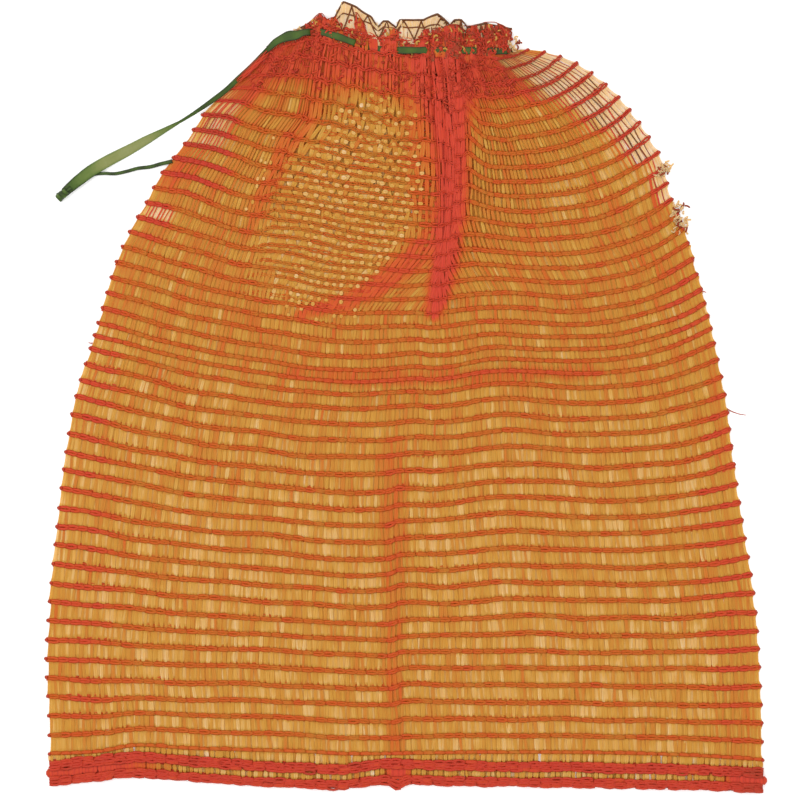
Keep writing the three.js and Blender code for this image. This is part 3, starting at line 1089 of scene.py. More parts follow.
TAPE_FILM = FilmFinish(
    name="tape_film",
    stops=(
        (0.0, "#a1a474"),
        (0.25, "#888d53"),
        (0.5, "#637637"),
        (0.75, "#41591e"),
        (1.0, "#23281a"),
    ),
    light_through=0.2,
    through_colour="#9fb56a",
    roughness=0.4,
    gloss=0.2,
    streaks=16.0,
    edge_tone=1.8,
)


# One chain stitch: along the row in stitches, across it in millimetres, lift in millimetres, and added tone.
CHAIN_STITCH = (
    (-0.04, 0.2, -0.16, 0.06),
    (0.28, 0.5, -0.02, 0.0),
    (0.68, 0.64, 0.08, -0.02),
    (1.1, 0.3, 0.2, -0.03),
    (1.1, -0.3, 0.2, -0.03),
    (0.68, -0.64, 0.08, -0.02),
    (0.28, -0.5, -0.02, 0.0),
    (-0.04, -0.2, -0.16, 0.06),
)
LOOP_STEP, LOOP_ACROSS, LOOP_LIFT, LOOP_TONE = (np.array(column) for column in zip(*CHAIN_STITCH))

# One cross tape: share of the way from row to row, share of its full width, and added tone; the darker ends
# are partly painted shade of the chain rows and partly the film's deeper orange there.
CROSS_TAPE = (
    (0.0, 0.7, 0.16),
    (0.28, 1.0, 0.02),
    (0.72, 1.0, 0.02),
    (1.0, 0.7, 0.16),
)
TAPE_UP, TAPE_WIDTH, TAPE_TONE_AND_ROW_SHADE = (np.array(column) for column in zip(*CROSS_TAPE))


@dataclass(frozen=True)
class LegPlaces:
    """Where the first of a stitch's two legs of film starts and ends, as shares of the stitch.

    The second leg mirrors it. Spread legs stand evenly, paired legs lean on each other, and legs
    in a zigzag meet the next stitch's leg at the foot and their own partner at the head.
    """

    spread: float = 0.25
    paired: float = 0.38
    zigzag_foot: float = 0.06
    zigzag_head: float = 0.43

    def at(self, paired: Any, zigzag: Any, up: Any) -> Any:
        """Place the first leg at a share of the way up, from how far legs are paired and slant there."""
        upright = blend(self.spread, self.paired, paired)
        return blend(upright, blend(self.zigzag_foot, self.zigzag_head, up), zigzag)


@dataclass
class Zones:
    """How far each leg of film takes part in the bag's different zones, from 0 to 1."""

    stretched: Array
    pale: Array
    paired: Array
    zigzag: Array
    frill: Array


@dataclass
class Legs:
    """One layer's legs of film, with one row for each leg.

    The gap counts the gaps between rows from the hem, and the centre is a leg's even place across
    the bag. The share and the level have a column for each station along the leg.
    """

    gap: Array
    centre: Array
    neck: Array
    share: Array
    level: Array
    uneven: Array
    zones: Zones


@dataclass(frozen=True)
class ByZone:
    """A value for the plain net and for each special zone, as pairs for the front and the back layer."""

    plain: Span
    zigzag: Span
    pale: Span
    frill: Span
    stretched: Span

    def at(self, zones: Zones, layer: Layer, plain: Any) -> Any:
        """Blend the zones' values into the plain net's.

        Args:
            zones: How far each leg takes part in each zone.
            layer: Which layer.
            plain: The plain net's value at each leg.

        Returns:
            One value for each leg.
        """
        result = blend(plain, self.zigzag[layer.index], zones.zigzag)
        result = blend(result, self.pale[layer.index], zones.pale)
        result = blend(result, self.frill[layer.index], zones.frill)
        return blend(result, self.stretched[layer.index], zones.stretched)


@dataclass
class CrossTapes:
    """The film tapes that cross from row to row, two legs to a stitch.

    Tones are places on the finish's colour scale, from 0 for pale film to 1 for dark.
    """

    pattern: NetPattern
    places: LegPlaces = LegPlaces()
    half_height: float = 0.1
    last_gap: float = 1.5
    jitter: float = 0.05
    zigzag_calm: float = 0.6
    field_zigzag: float = 0.2
    back_offset: float = 0.25
    share_limits: Span = (0.002, 0.998)
    bow: float = 0.1
    roll: float = 0.1
    pairing: Span = (0.3, 1.0)
    frilling: Span = (-0.6, -0.2)
    cover: ByZone = ByZone(
        plain=(0.6, 1.6),
        zigzag=(0.95, 1.5),
        pale=(0.46, 1.6),
        frill=(0.9, 1.1),
        stretched=(0.27, 1.1),
    )
    pitch_limits: Span = (0.9, 2.8)
    fullness: Ripple = Ripple(31, across=14.0, upward=1.6)
    fullness_depth: float = 0.2
    width_jitter: float = 0.12
    pleat_cover: float = 0.5
    # The back layer's tones are paler than the front's: painted light, which makes up for the shade under the
    # front layer and stands for light seen through the gaps.
    tone: ByZone = ByZone(
        plain=(0.185, 0.07),
        zigzag=(0.145, 0.07),
        pale=(0.12, 0.035),
        frill=(0.58, 0.02),
        stretched=(0.85, 0.02),
    )
    rise_tone: float = 0.1
    rise_toning: Span = (0.25, 0.7)
    light_legs: float = 0.26
    light_tone: float = 0.1
    palest: float = 0.06
    tone_jitter: float = 0.05
    # The front frill's legs vary more: partly the film's own unevenness and partly painted shade and
    # highlights of the ruffles.
    frill_tone_and_painted_light_jitter: float = 0.12
    patches: Ripple = Ripple(29, across=24.0, upward=2.6)
    patchy_tone: float = 0.04
    red_share: float = 0.85
    back_red_loss: float = 0.3
    pleat_tone: float = 0.045
    edge_share: float = 0.006
    edge_tone: float = 0.05
    edge_strength: float = 0.3

    def zones(self, middle: Array, gap: Array, neck: Array, draw: np.random.Generator) -> Zones:
        """Read the zones at the middle of each leg.

        Args:
            middle: The legs' middles in millimetres.
            gap: Which gap between two rows each leg crosses.
            neck: The level of the neck at each leg.
            draw: The source of unevenness.

        Returns:
            The zones, with one row for each leg.
        """
        pattern = self.pattern
        x, y = middle[..., 0], middle[..., 1]
        uneven_rows = draw.uniform(*self.pairing, int(gap.max()) + 1)[gap]
        return Zones(
            stretched=together(pattern.open_patches, x, y),
            pale=together(pattern.pale_patches, x, y),
            paired=together(pattern.paired_patches, x, y) * uneven_rows,
            zigzag=together(pattern.zigzag_patches, x, y),
            frill=ease(gap - neck, *self.frilling),
        )

    def lay(self, layer: Layer, draw: np.random.Generator) -> Legs:
        """Find where one layer's legs lie.

        Args:
            layer: Which layer.
            draw: The source of unevenness.

        Returns:
            The legs.
        """
        pattern = self.pattern
        back = layer.index
        legs_in_row = 2 * pattern.stitches
        gap, leg = columns_of(pattern.all_rows(), np.arange(legs_in_row))
        centre = (leg + 0.5) / legs_in_row
        kept = (gap < pattern.neck_level(centre) + self.last_gap)[:, 0]
        gap, leg, centre = gap[kept], leg[kept], centre[kept]
        neck = pattern.neck_level(centre)
        uneven = draw.normal(0.0, 1.0, (len(gap), 5, 1))
        zones = self.zones(pattern.surface(centre, gap + 0.5, layer), gap, neck, draw)
        stitch, second = np.divmod(leg, 2)
        zigzag = np.maximum(self.field_zigzag, zones.zigzag)
        place = self.places.at(zones.paired * (1 - back), zigzag, TAPE_UP)
        place = np.where(second == 1, 1.0 - place, place)
        beside = self.back_offset * back * (1.0 - zones.paired) * (1.0 - zones.zigzag)
        lean = uneven[:, 0] + uneven[:, 1] * (TAPE_UP - 0.5)
        lean = self.jitter * (1.0 - self.zigzag_calm * zones.zigzag) * lean
        share = np.clip((stitch + place + beside + lean) / pattern.stitches, *self.share_limits)
        level = np.minimum(gap + TAPE_UP, neck + FRILL_ROWS)
        return Legs(gap, centre, neck, share, level, uneven, zones)

    def half_widths(self, legs: Legs, layer: Layer) -> Array:
        """Give half of each leg's full width, from the room that it has.

        Args:
            legs: The legs.
            layer: Which layer.

        Returns:
            Half widths in millimetres.
        """
        half_pitch = 0.25 / self.pattern.stitches
        ahead = self.pattern.surface(legs.centre + half_pitch, legs.gap + 0.5, layer)
        behind = self.pattern.surface(legs.centre - half_pitch, legs.gap + 0.5, layer)
        pitch = np.clip(np.linalg.norm((ahead - behind)[..., :2], axis=-1), *self.pitch_limits)
        fullness = self.fullness_depth * (1 - layer.index) * self.fullness.at(legs.centre, legs.gap)
        plain = self.cover.plain[layer.index] * (1.0 + fullness)
        cover = self.cover.at(legs.zones, layer, plain)
        return 0.5 * pitch * cover * (1.0 + self.width_jitter * legs.uneven[:, 4])

    def tones(self, legs: Legs, layer: Layer, lines: Array, draw: np.random.Generator) -> Array:
        """Colour the legs by zone, and redder in folds.

        Args:
            legs: The legs.
            layer: Which layer.
            lines: The legs' centre lines in millimetres.
            draw: The source of unevenness.

        Returns:
            The tone at each station.
        """
        back = layer.index
        zones = legs.zones
        light = draw.uniform(0.0, 1.0, legs.gap.shape) < self.light_legs
        # The back layer's paler tone is painted light against the shade under the front layer.
        plain = np.where(light, self.light_tone, self.tone.plain[back])
        plain = plain + self.rise_tone * ease(legs.gap / legs.neck, *self.rise_toning)
        bare_film = back * np.maximum(zones.stretched, zones.frill)
        jitter = blend(self.tone_jitter, self.frill_tone_and_painted_light_jitter, zones.frill * (1 - back))
        uneven = jitter * legs.uneven[:, 2] + self.patchy_tone * self.patches.at(legs.share, legs.level)
        # The tapes' ends are darker beside the rows, partly as painted shade of the chain stitches.
        tone = self.tone.at(zones, layer, plain) + (uneven + TAPE_TONE_AND_ROW_SHADE) * (1.0 - bare_film)
        tone = np.maximum(tone, self.palest * (1.0 - bare_film))
        red = (1.0 - zones.frill) * (1.0 - zones.stretched)
        red = red * (1.0 - self.back_red_loss * back) * (1.0 - back * zones.pale)
        tone = self.pattern.redden(lines, tone, self.red_share * red)
        edge = np.exp(-inset(legs.share) / self.edge_share) * (1.0 - zones.frill)
        pleated = self.pattern.main_fold.at(lines[..., 0], lines[..., 1]) * (1.0 - zones.frill)
        return blend(tone, self.edge_tone, self.edge_strength * edge) + self.pleat_tone * pleated

    def strips(self, layer: Layer, draw: np.random.Generator) -> Strips:
        """Lay one layer's film tapes.

        Args:
            layer: Which layer.
            draw: The source of unevenness.

        Returns:
            One closed strip for each leg.
        """
        pattern = self.pattern
        legs = self.lay(layer, draw)
        ups = pattern.normal(legs.share, legs.level, layer)
        bow = self.bow * np.sin(math.pi * TAPE_UP) * legs.uneven[:, 2]
        lines = pattern.surface(legs.share, legs.level, layer) + ups * bow[..., None]
        ups = unit(ups + self.roll * legs.uneven[:, 3][..., None] * SIDEWAYS)
        half_width = self.half_widths(legs, layer)
        if layer is Layer.FRONT:
            half_width = half_width * TAPE_WIDTH
        pleated = pattern.main_fold.at(lines[..., 0], lines[..., 1])
        half_width = half_width * (1.0 + self.pleat_cover * pleated)
        tone = self.tones(legs, layer, lines, draw)
        return Strips().add(lines, ups, half_width, self.half_height, tone)


@dataclass
class Chains:
    """The rows of chain stitches. Changes of width are shares of the plain width."""

    pattern: NetPattern
    half_width: float = 0.66
    half_height: float = 0.3
    lift: float = 0.16
    back_lift: float = -0.12
    back_loop_lift: float = 0.4
    last_row: float = 1.3
    jitter: float = 0.05
    loop_jitter: float = 0.12
    row_jitter: float = 0.1
    stretched_width: float = -0.3
    zigzag_width: float = -0.3
    dense_width: float = 0.25
    pleat_width: float = -0.45
    neck_width: float = -0.35
    neck_narrowing: Span = (-6.0, -2.0)
    tone: float = 0.445
    tone_jitter: float = 0.025
    patches: Ripple = Ripple(17, across=20.0)
    patch_row: float = 3.0
    patchy_tone: float = 0.03
    zigzag_tone: float = -0.05
    red_share: float = 0.95
    stretched_tone: float = 0.8
    stretched_share: float = 0.7
    dense_tone: float = 0.75
    dense_share: float = 0.8

    def strips(self, layer: Layer, draw: np.random.Generator) -> Strips:
        """Knit one layer's rows.

        Args:
            layer: Which layer.
            draw: The source of unevenness.

        Returns:
            One closed strip for each stitch.
        """
        pattern = self.pattern
        row, stitch = columns_of(pattern.all_rows(), np.arange(pattern.stitches))
        kept = (row < pattern.neck_level((stitch + 0.5) / pattern.stitches) + self.last_row)[:, 0]
        row, stitch = row[kept], stitch[kept]
        uneven = draw.normal(0.0, 1.0, (len(row), 3, 1))
        share = np.clip((stitch + LOOP_STEP + self.jitter * uneven[:, 0]) / pattern.stitches, 0.0, 1.0)
        across = LOOP_ACROSS * (1.0 + self.loop_jitter * uneven[:, 1]) + self.row_jitter * uneven[:, 2]
        level = row + across / pattern.row_pitch
        ups = pattern.normal(share, level, layer)
        lines = pattern.surface(share, level, layer)
        zigzag = together(pattern.zigzag_patches, lines[..., 0], lines[..., 1])
        height = self.lift + LOOP_LIFT
        if layer is Layer.BACK:
            nested = level + pattern.row_phase(share, level / pattern.neck_level(share))
            front = pattern.surface(share, nested, Layer.FRONT)
            lines[..., 2] = blend(lines[..., 2], front[..., 2], zigzag)
            height = blend(self.back_lift + self.back_loop_lift * LOOP_LIFT, height, zigzag)
        lines = lines + ups * np.broadcast_to(height, share.shape)[..., None]

        x, y = lines[..., 0], lines[..., 1]
        stretched = together(pattern.open_patches, x, y)
        dense = together(pattern.dense_patches, x, y)
        tone = self.tone + self.tone_jitter * uneven[:, 1] + LOOP_TONE + self.zigzag_tone * zigzag
        tone = tone + self.patchy_tone * self.patches.at(share, self.patch_row * row)
        tone = pattern.redden(lines, tone, self.red_share)
        tone = blend(tone, self.stretched_tone, self.stretched_share * stretched)
        tone = blend(tone, self.dense_tone, self.dense_share * dense)
        below_neck = ease(row - pattern.neck_level(share), *self.neck_narrowing)
        half_width = self.half_width * (1.0 + self.stretched_width * stretched)
        half_width = half_width * (1.0 + self.zigzag_width * zigzag) * (1.0 + self.dense_width * dense)
        half_width = half_width * (1.0 + self.neck_width * below_neck)
        half_width = half_width * (1.0 + self.pleat_width * pattern.main_fold.at(x, y))
        return Strips().add(lines, ups, half_width, self.half_height, tone)


@dataclass
class SideTurns:
    """The turns of the rows at both sides, from the front layer round to the back layer."""

    pattern: NetPattern
    stations: int = 7
    inner_share: float = 0.02
    reach: float = 1.1
    setback: float = 0.6
    depth: float = 0.5
    half_width: float = 0.8
    half_height: float = 0.45
    tone: float = 0.68
    outer_tone: float = 0.2

    def strips(self) -> Strips:
        """Turn each row at both sides.

        Returns:
            One closed strip for each turn.
        """
        pattern = self.pattern
        turn = np.linspace(-0.5, 0.5, self.stations) * math.pi
        outside = np.cos(turn)[:, None]
        downward = np.sin(turn)[:, None] * UPWARD
        strips = Strips()
        for side in Side:
            last = round(float(pattern.neck_level(side.value))) + FRILL_ROWS
            rows = np.arange(last, dtype=float)[:, None]
            edge = pattern.surface(side.value, rows, Layer.FRONT)
            inner = pattern.surface(abs(side.value - self.inner_share), rows, Layer.FRONT)
            outward = unit((edge - inner) * (1.0 - UPWARD))
            lines = edge + outward * (self.reach * outside - self.setback) - self.depth * downward
            ups = unit(outward * outside - downward)
            tone = self.tone + self.outer_tone * np.cos(turn) ** 2
            strips.add(lines, ups, self.half_width, self.half_height, tone)
        return strips


@dataclass
class FrillEdge:
    """The thin dark threads along the frill's edge, and across the film below it."""

    pattern: NetPattern
    edge_stations_per_stitch: int = 8
    crossings: int = 33
    crossing_stations: int = 5
    crossing_rows: Span = (1.0, 1.95)
    film_row: float = 1.62
    film_thread: Span = (0.36, 0.93)
    front_thread: Span = (0.26, 0.82)
    back_thread: Span = (0.52, 0.97)
    half_height: float = 0.3
    lift: float = 0.25

    def strips(self) -> Strips:
        """Run the threads, each with its half width and tone.

        Returns:
            One closed strip for each thread.
        """
        pattern = self.pattern
        share = np.linspace(0.0, 1.0, self.edge_stations_per_stitch * pattern.stitches)[None]
        first = np.arange(self.crossings)[:, None]
        half_crossing = 0.5 / self.crossings
        slanting = (first + np.linspace(0.0, 0.5, self.crossing_stations)) / self.crossings
        rising = np.linspace(*self.crossing_rows, self.crossing_stations)
        threads = (
            (share, FRILL_ROWS, Layer.FRONT, self.front_thread),
            (share, FRILL_ROWS, Layer.BACK, self.back_thread),
            (share, self.film_row, Layer.BACK, self.film_thread),
            (slanting, rising, Layer.BACK, self.film_thread),
            (slanting + half_crossing, rising[::-1], Layer.BACK, self.film_thread),
        )
        strips = Strips()
        for places, above, layer, (half_width, tone) in threads:
            level = pattern.neck_level(places) + above
            ups = pattern.normal(places, level, layer)
            lines = pattern.surface(places, level, layer) + self.lift * ups
            strips.add(lines, ups, half_width, self.half_height, tone)
        return strips


@dataclass
class ShoulderLip:
    """The left shoulder's edge threads, which lie over the tape where the net covers it."""

    route: Route = (
        (-68.2, 169.8, 5.2), (-71.4, 166.6, 4.9), (-75.4, 162.8, 4.6), (-79.6, 158.8, 4.3),
        (-83.4, 155.4, 4.1),
    )
    threads: Pairs = ((0.1, 0.86), (0.7, 0.66), (1.4, 0.6), (2.1, 0.68))
    stations: int = 40
    half_width: float = 0.55
    half_height: float = 0.2
    ends: Span = (0.08, 0.92)
    wave: float = 0.15
    wave_turns: float = 23.0
    wave_shift: float = 5.0

    def strips(self) -> Strips:
        """Lay the threads side by side, each at its distance and with its tone.

        Returns:
            One closed strip for each thread.
        """
        line = curve_points(self.route, self.stations)
        inward = unit(np.array([1.0, -1.0, 0.0]))
        step = np.linspace(0.0, 1.0, self.stations)
        half_width = self.half_width * np.sin(math.pi * blend(*self.ends, step))
        strips = Strips()
        for aside, tone in self.threads:
            wave = self.wave * np.sin(self.wave_turns * step + self.wave_shift * aside)
            thread = line + inward * (aside + wave)[:, None]
            strips.add(thread, facing_up(thread), half_width, self.half_height, tone)
        return strips


@dataclass
class Tufts:
    """The tangles of broken film at the right side and at the neck's ends.

    Each place is x, y and z in millimetres, the tangle's reach and its number of curls.
    """

    places: tuple[tuple[float, float, float, float, int], ...] = (
        (125.5, 112, 1.4, 3, 34),
        (132.5, 92, 1.4, 2.6, 24),
        (134.5, 85, 1.4, 3.2, 36),
        (52.5, 172.5, 3.5, 2.2, 18),
        (-52, 179.5, 5, 1, 10),
    )
    stations: int = 9
    scatter: float = 0.5
    upward_reach: float = 0.5
    rise: float = 0.25
    turning: float = 4.5
    length: Span = (2.0, 4.5)
    half_width: float = 0.42
    half_height: float = 0.1
    pale_tone: float = 0.04
    dark_tone: float = 0.85
    dark_share: float = 0.25

    def strips(self, draw: np.random.Generator) -> Strips:
        """Tangle the curls.

        Args:
            draw: The source of unevenness.

        Returns:
            One thin strip for each curl.
        """
        strips = Strips()
        step = np.linspace(0.0, 1.0, self.stations)
        for x, y, z, reach, curls in self.places:
            spread = np.array([reach, reach, self.upward_reach])
            for _ in range(curls):
                start = np.array([x, y, z]) + draw.normal(0.0, self.scatter, 3) * spread
                angle = draw.uniform(0.0, FULL_TURN) + draw.uniform(-self.turning, self.turning) * step
                run = headings(angle, self.rise)
                line = start + np.cumsum(run, axis=0) * draw.uniform(*self.length) / self.stations
                tone = self.dark_tone if draw.uniform() < self.dark_share else self.pale_tone
                strips.add(line, facing_up(line), self.half_width, self.half_height, tone)
        return strips


@dataclass(frozen=True)
class CurlField:
    """A band of small loops: how many are tried, where the band lies, and the tones to choose from.

    The band starts at a share across the bag, and its rows are counted from the neck.
    """

    tried: int
    first_share: float
    rows: Span
    tones: tuple[float, ...]
    only_in_red: bool


@dataclass
class Curls:
    """The small loops of the crumpled net above and below the neck."""

    pattern: NetPattern
    frill: CurlField = CurlField(
        tried=620,
        first_share=0.16,
        rows=(0.2, 1.75),
        # The frill's palest loops are painted highlights and its darkest loops painted shade of the ruffles;
        # the others are the red of the crumpled net.
        tones=(0.58, 0.62, 0.66, 0.68, 0.7, 0.72, 0.78, 0.84, 0.12),
        only_in_red=False,
    )
    gather: CurlField = CurlField(
        tried=700,
        first_share=0.03,
        rows=(-3.0, -0.2),
        tones=(0.6, 0.64, 0.68, 0.72, 0.78),
        only_in_red=True,
    )
    stations: int = 9
    lift: float = 0.4
    rise: float = 0.3
    turning: float = 5.0
    length: Span = (2.0, 4.4)
    half_width: Span = (0.25, 0.6)
    half_height: float = 0.12

    def strips(self, draw: np.random.Generator) -> Strips:
        """Crumple the loops.

        Args:
            draw: The source of unevenness.

        Returns:
            One thin strip for each loop.
        """
        pattern = self.pattern
        step = np.linspace(0.0, 1.0, self.stations)
        strips = Strips()
        for band in (self.frill, self.gather):
            share = draw.uniform(band.first_share, 1.0, (band.tried, 1))
            level = pattern.neck_level(share) + draw.uniform(*band.rows, share.shape)
            start = pattern.surface(share, level, Layer.FRONT) + self.lift * UPWARD
            red = together(pattern.fold_lines, start[..., 0], start[..., 1])
            clear = 1.0 - together(pattern.open_patches, start[..., 0], start[..., 1])
            kept = ((red * clear) ** 2 > draw.uniform(0.0, 1.0, share.shape))[:, 0] | (not band.only_in_red)
            shape = share[kept].shape
            angle = draw.uniform(0.0, FULL_TURN, shape)
            run = headings(angle + draw.uniform(-self.turning, self.turning, shape) * step, self.rise)
            length = draw.uniform(*self.length, shape)[..., None]
            loop = np.cumsum(run, axis=1) - run.sum(axis=1, keepdims=True) / 2.0
            lines = start[kept] + loop * length / self.stations
            tone = draw.choice(band.tones, shape)
            strips.add(lines, facing_up(lines), draw.uniform(*self.half_width, shape), self.half_height, tone)
        return strips


@dataclass
class LooseFibres:
    """The few broken film fibres that stand off the sides.

    Each root is a side, a level in rows, a length, a heading and a bend in radians.
    """

    pattern: NetPattern
    roots: tuple[tuple[Side, float, float, float, float], ...] = (
        (Side.RIGHT, 19.3, 11.5, -0.6, 0.5),
        (Side.RIGHT, 26.8, 3.0, 0.4, -1.0),
        (Side.LEFT, 22.4, 2.5, -0.5, 1.2),
    )
    stations: int = 9
    tip_height: float = 0.4
    half_width: Span = (0.3, 0.16)
    half_height: float = 0.12
    tone: float = 0.8

    def strips(self) -> Strips:
        """Let the fibres bend down to the floor.

        Returns:
            One thin strip for each fibre.
        """
        strips = Strips()
        step = np.linspace(0.0, 1.0, self.stations)
        for side, level, length, heading, bend in self.roots:
            root = self.pattern.surface(side.value, level, Layer.FRONT)
            outward = 1.0 if side is Side.RIGHT else -1.0
            angle = heading + bend * step
            run = np.stack([outward * np.cos(angle), np.sin(angle), np.zeros_like(step)], axis=-1)
            line = root + np.cumsum(run, axis=0) * length / self.stations
            line[:, 2] = blend(line[0, 2], self.tip_height, step)
            strips.add(line, facing_up(line), blend(*self.half_width, step), self.half_height, self.tone)
        return strips


@dataclass
class Eyelets:
    """The small dots of pale film where the back rows lie half-way between the front rows; their pale tone is
    painted light showing through the net's holes there.
    """

    pattern: NetPattern
    rows: tuple[int, int] = (23, 42)
    first_dot: float = 0.5
    pitch: float = 0.8
    half_length: float = 0.2
    half_width: float = 0.95
    half_height: float = 0.08
    outline: tuple[float, ...] = (0.5, 1.0, 1.0, 0.5)
    lift: float = 0.4
    lower_level: float = 0.26
    upper_step: float = 0.5
    share_jitter: float = 0.05
    level_jitter: float = 0.03
    beside_pleat: Span = (0.03, 0.06)
    threshold: Span = (0.12, 0.6)
    size: Span = (0.75, 1.15)
    # Painted light: the pale tone stands for light seen through the holes.
    tone: float = 0.11
    tone_jitter: float = 0.025

    def strips(self, draw: np.random.Generator) -> Strips:
        """Lay two staggered lines of dots in each gap between rows.

        Args:
            draw: The source of unevenness.

        Returns:
            One short strip for each dot.
        """
        pattern = self.pattern
        dots = np.arange(self.first_dot, pattern.stitches, self.pitch)
        row, dot, upper = columns_of(np.arange(*self.rows), dots, (0.0, 1.0))
        stagger = 0.5 * self.pitch * upper
        share = (dot + stagger + self.share_jitter * draw.normal(size=row.shape)) / pattern.stitches
        level = row + self.lower_level + self.upper_step * upper
        level = level + self.level_jitter * draw.normal(size=row.shape)
        x, y = np.moveaxis(pattern.surface(share, level, Layer.FRONT)[..., :2], -1, 0)
        shown = together(pattern.zigzag_patches, x, y) * (1.0 - together(pattern.fold_lines, x, y))
        shown = shown * ease(np.abs(share - pattern.pleats[0].share), *self.beside_pleat)
        kept = (shown > draw.uniform(*self.threshold, row.shape))[:, 0]
        outline = np.array(self.outline)
        along_dot = np.linspace(-1.0, 1.0, len(outline))
        share = share[kept] + self.half_length * along_dot / pattern.stitches
        level = np.broadcast_to(level[kept], share.shape)
        ups = pattern.normal(share, level, Layer.FRONT)
        lines = pattern.surface(share, level, Layer.FRONT) + self.lift * ups
        half_width = self.half_width * draw.uniform(*self.size, (len(share), 1)) * outline
        tone = self.tone + self.tone_jitter * draw.normal(size=(len(share), 1))
        return Strips().add(lines, ups, half_width, self.half_height, tone)


@dataclass
class Net:
    """The two layers of net, with their side turns, their frill and their loose film."""

    pattern: NetPattern
    material: bpy.types.Material

    def build(self) -> list[bpy.types.Object]:
        """Make the net's pieces.

        Returns:
            The pieces, each standing for the solid bag.
        """
        pattern = self.pattern
        tapes = CrossTapes(pattern)
        chains = Chains(pattern)
        pieces = []
        for layer in (Layer.BACK, Layer.FRONT):
            draw = np.random.default_rng([SEED, layer is Layer.FRONT])
            film = tapes.strips(layer, draw)
            pieces.append(film.make(f"net_{layer.value}_tapes", self.material, smooth=False))
            pieces.append(chains.strips(layer, draw).make(f"net_{layer.value}_chains", self.material))
        draw = np.random.default_rng(SEED)
        trims = {
            "net_side_turns": SideTurns(pattern).strips(),
            "net_frill_edge": FrillEdge(pattern).strips(),
            "net_shoulder_lip": ShoulderLip().strips(),
            "net_tufts": Tufts().strips(draw),
            "net_frill_curls": Curls(pattern).strips(draw),
            "net_loose_fibres": LooseFibres(pattern).strips(),
        }
        pieces += [strips.make(name, self.material) for name, strips in trims.items()]
        pieces.append(Eyelets(pattern).strips(draw).make("net_eyelets", self.material, smooth=False))
        for piece in pieces:
            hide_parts("net_bag")
        return pieces


@dataclass(frozen=True)
class SlitFilm:
    """One layer's film in the hem's slits: its height, half its width in millimetres, and its tone."""

    layer: Layer
    base: float
    half_width: float
    tone: float


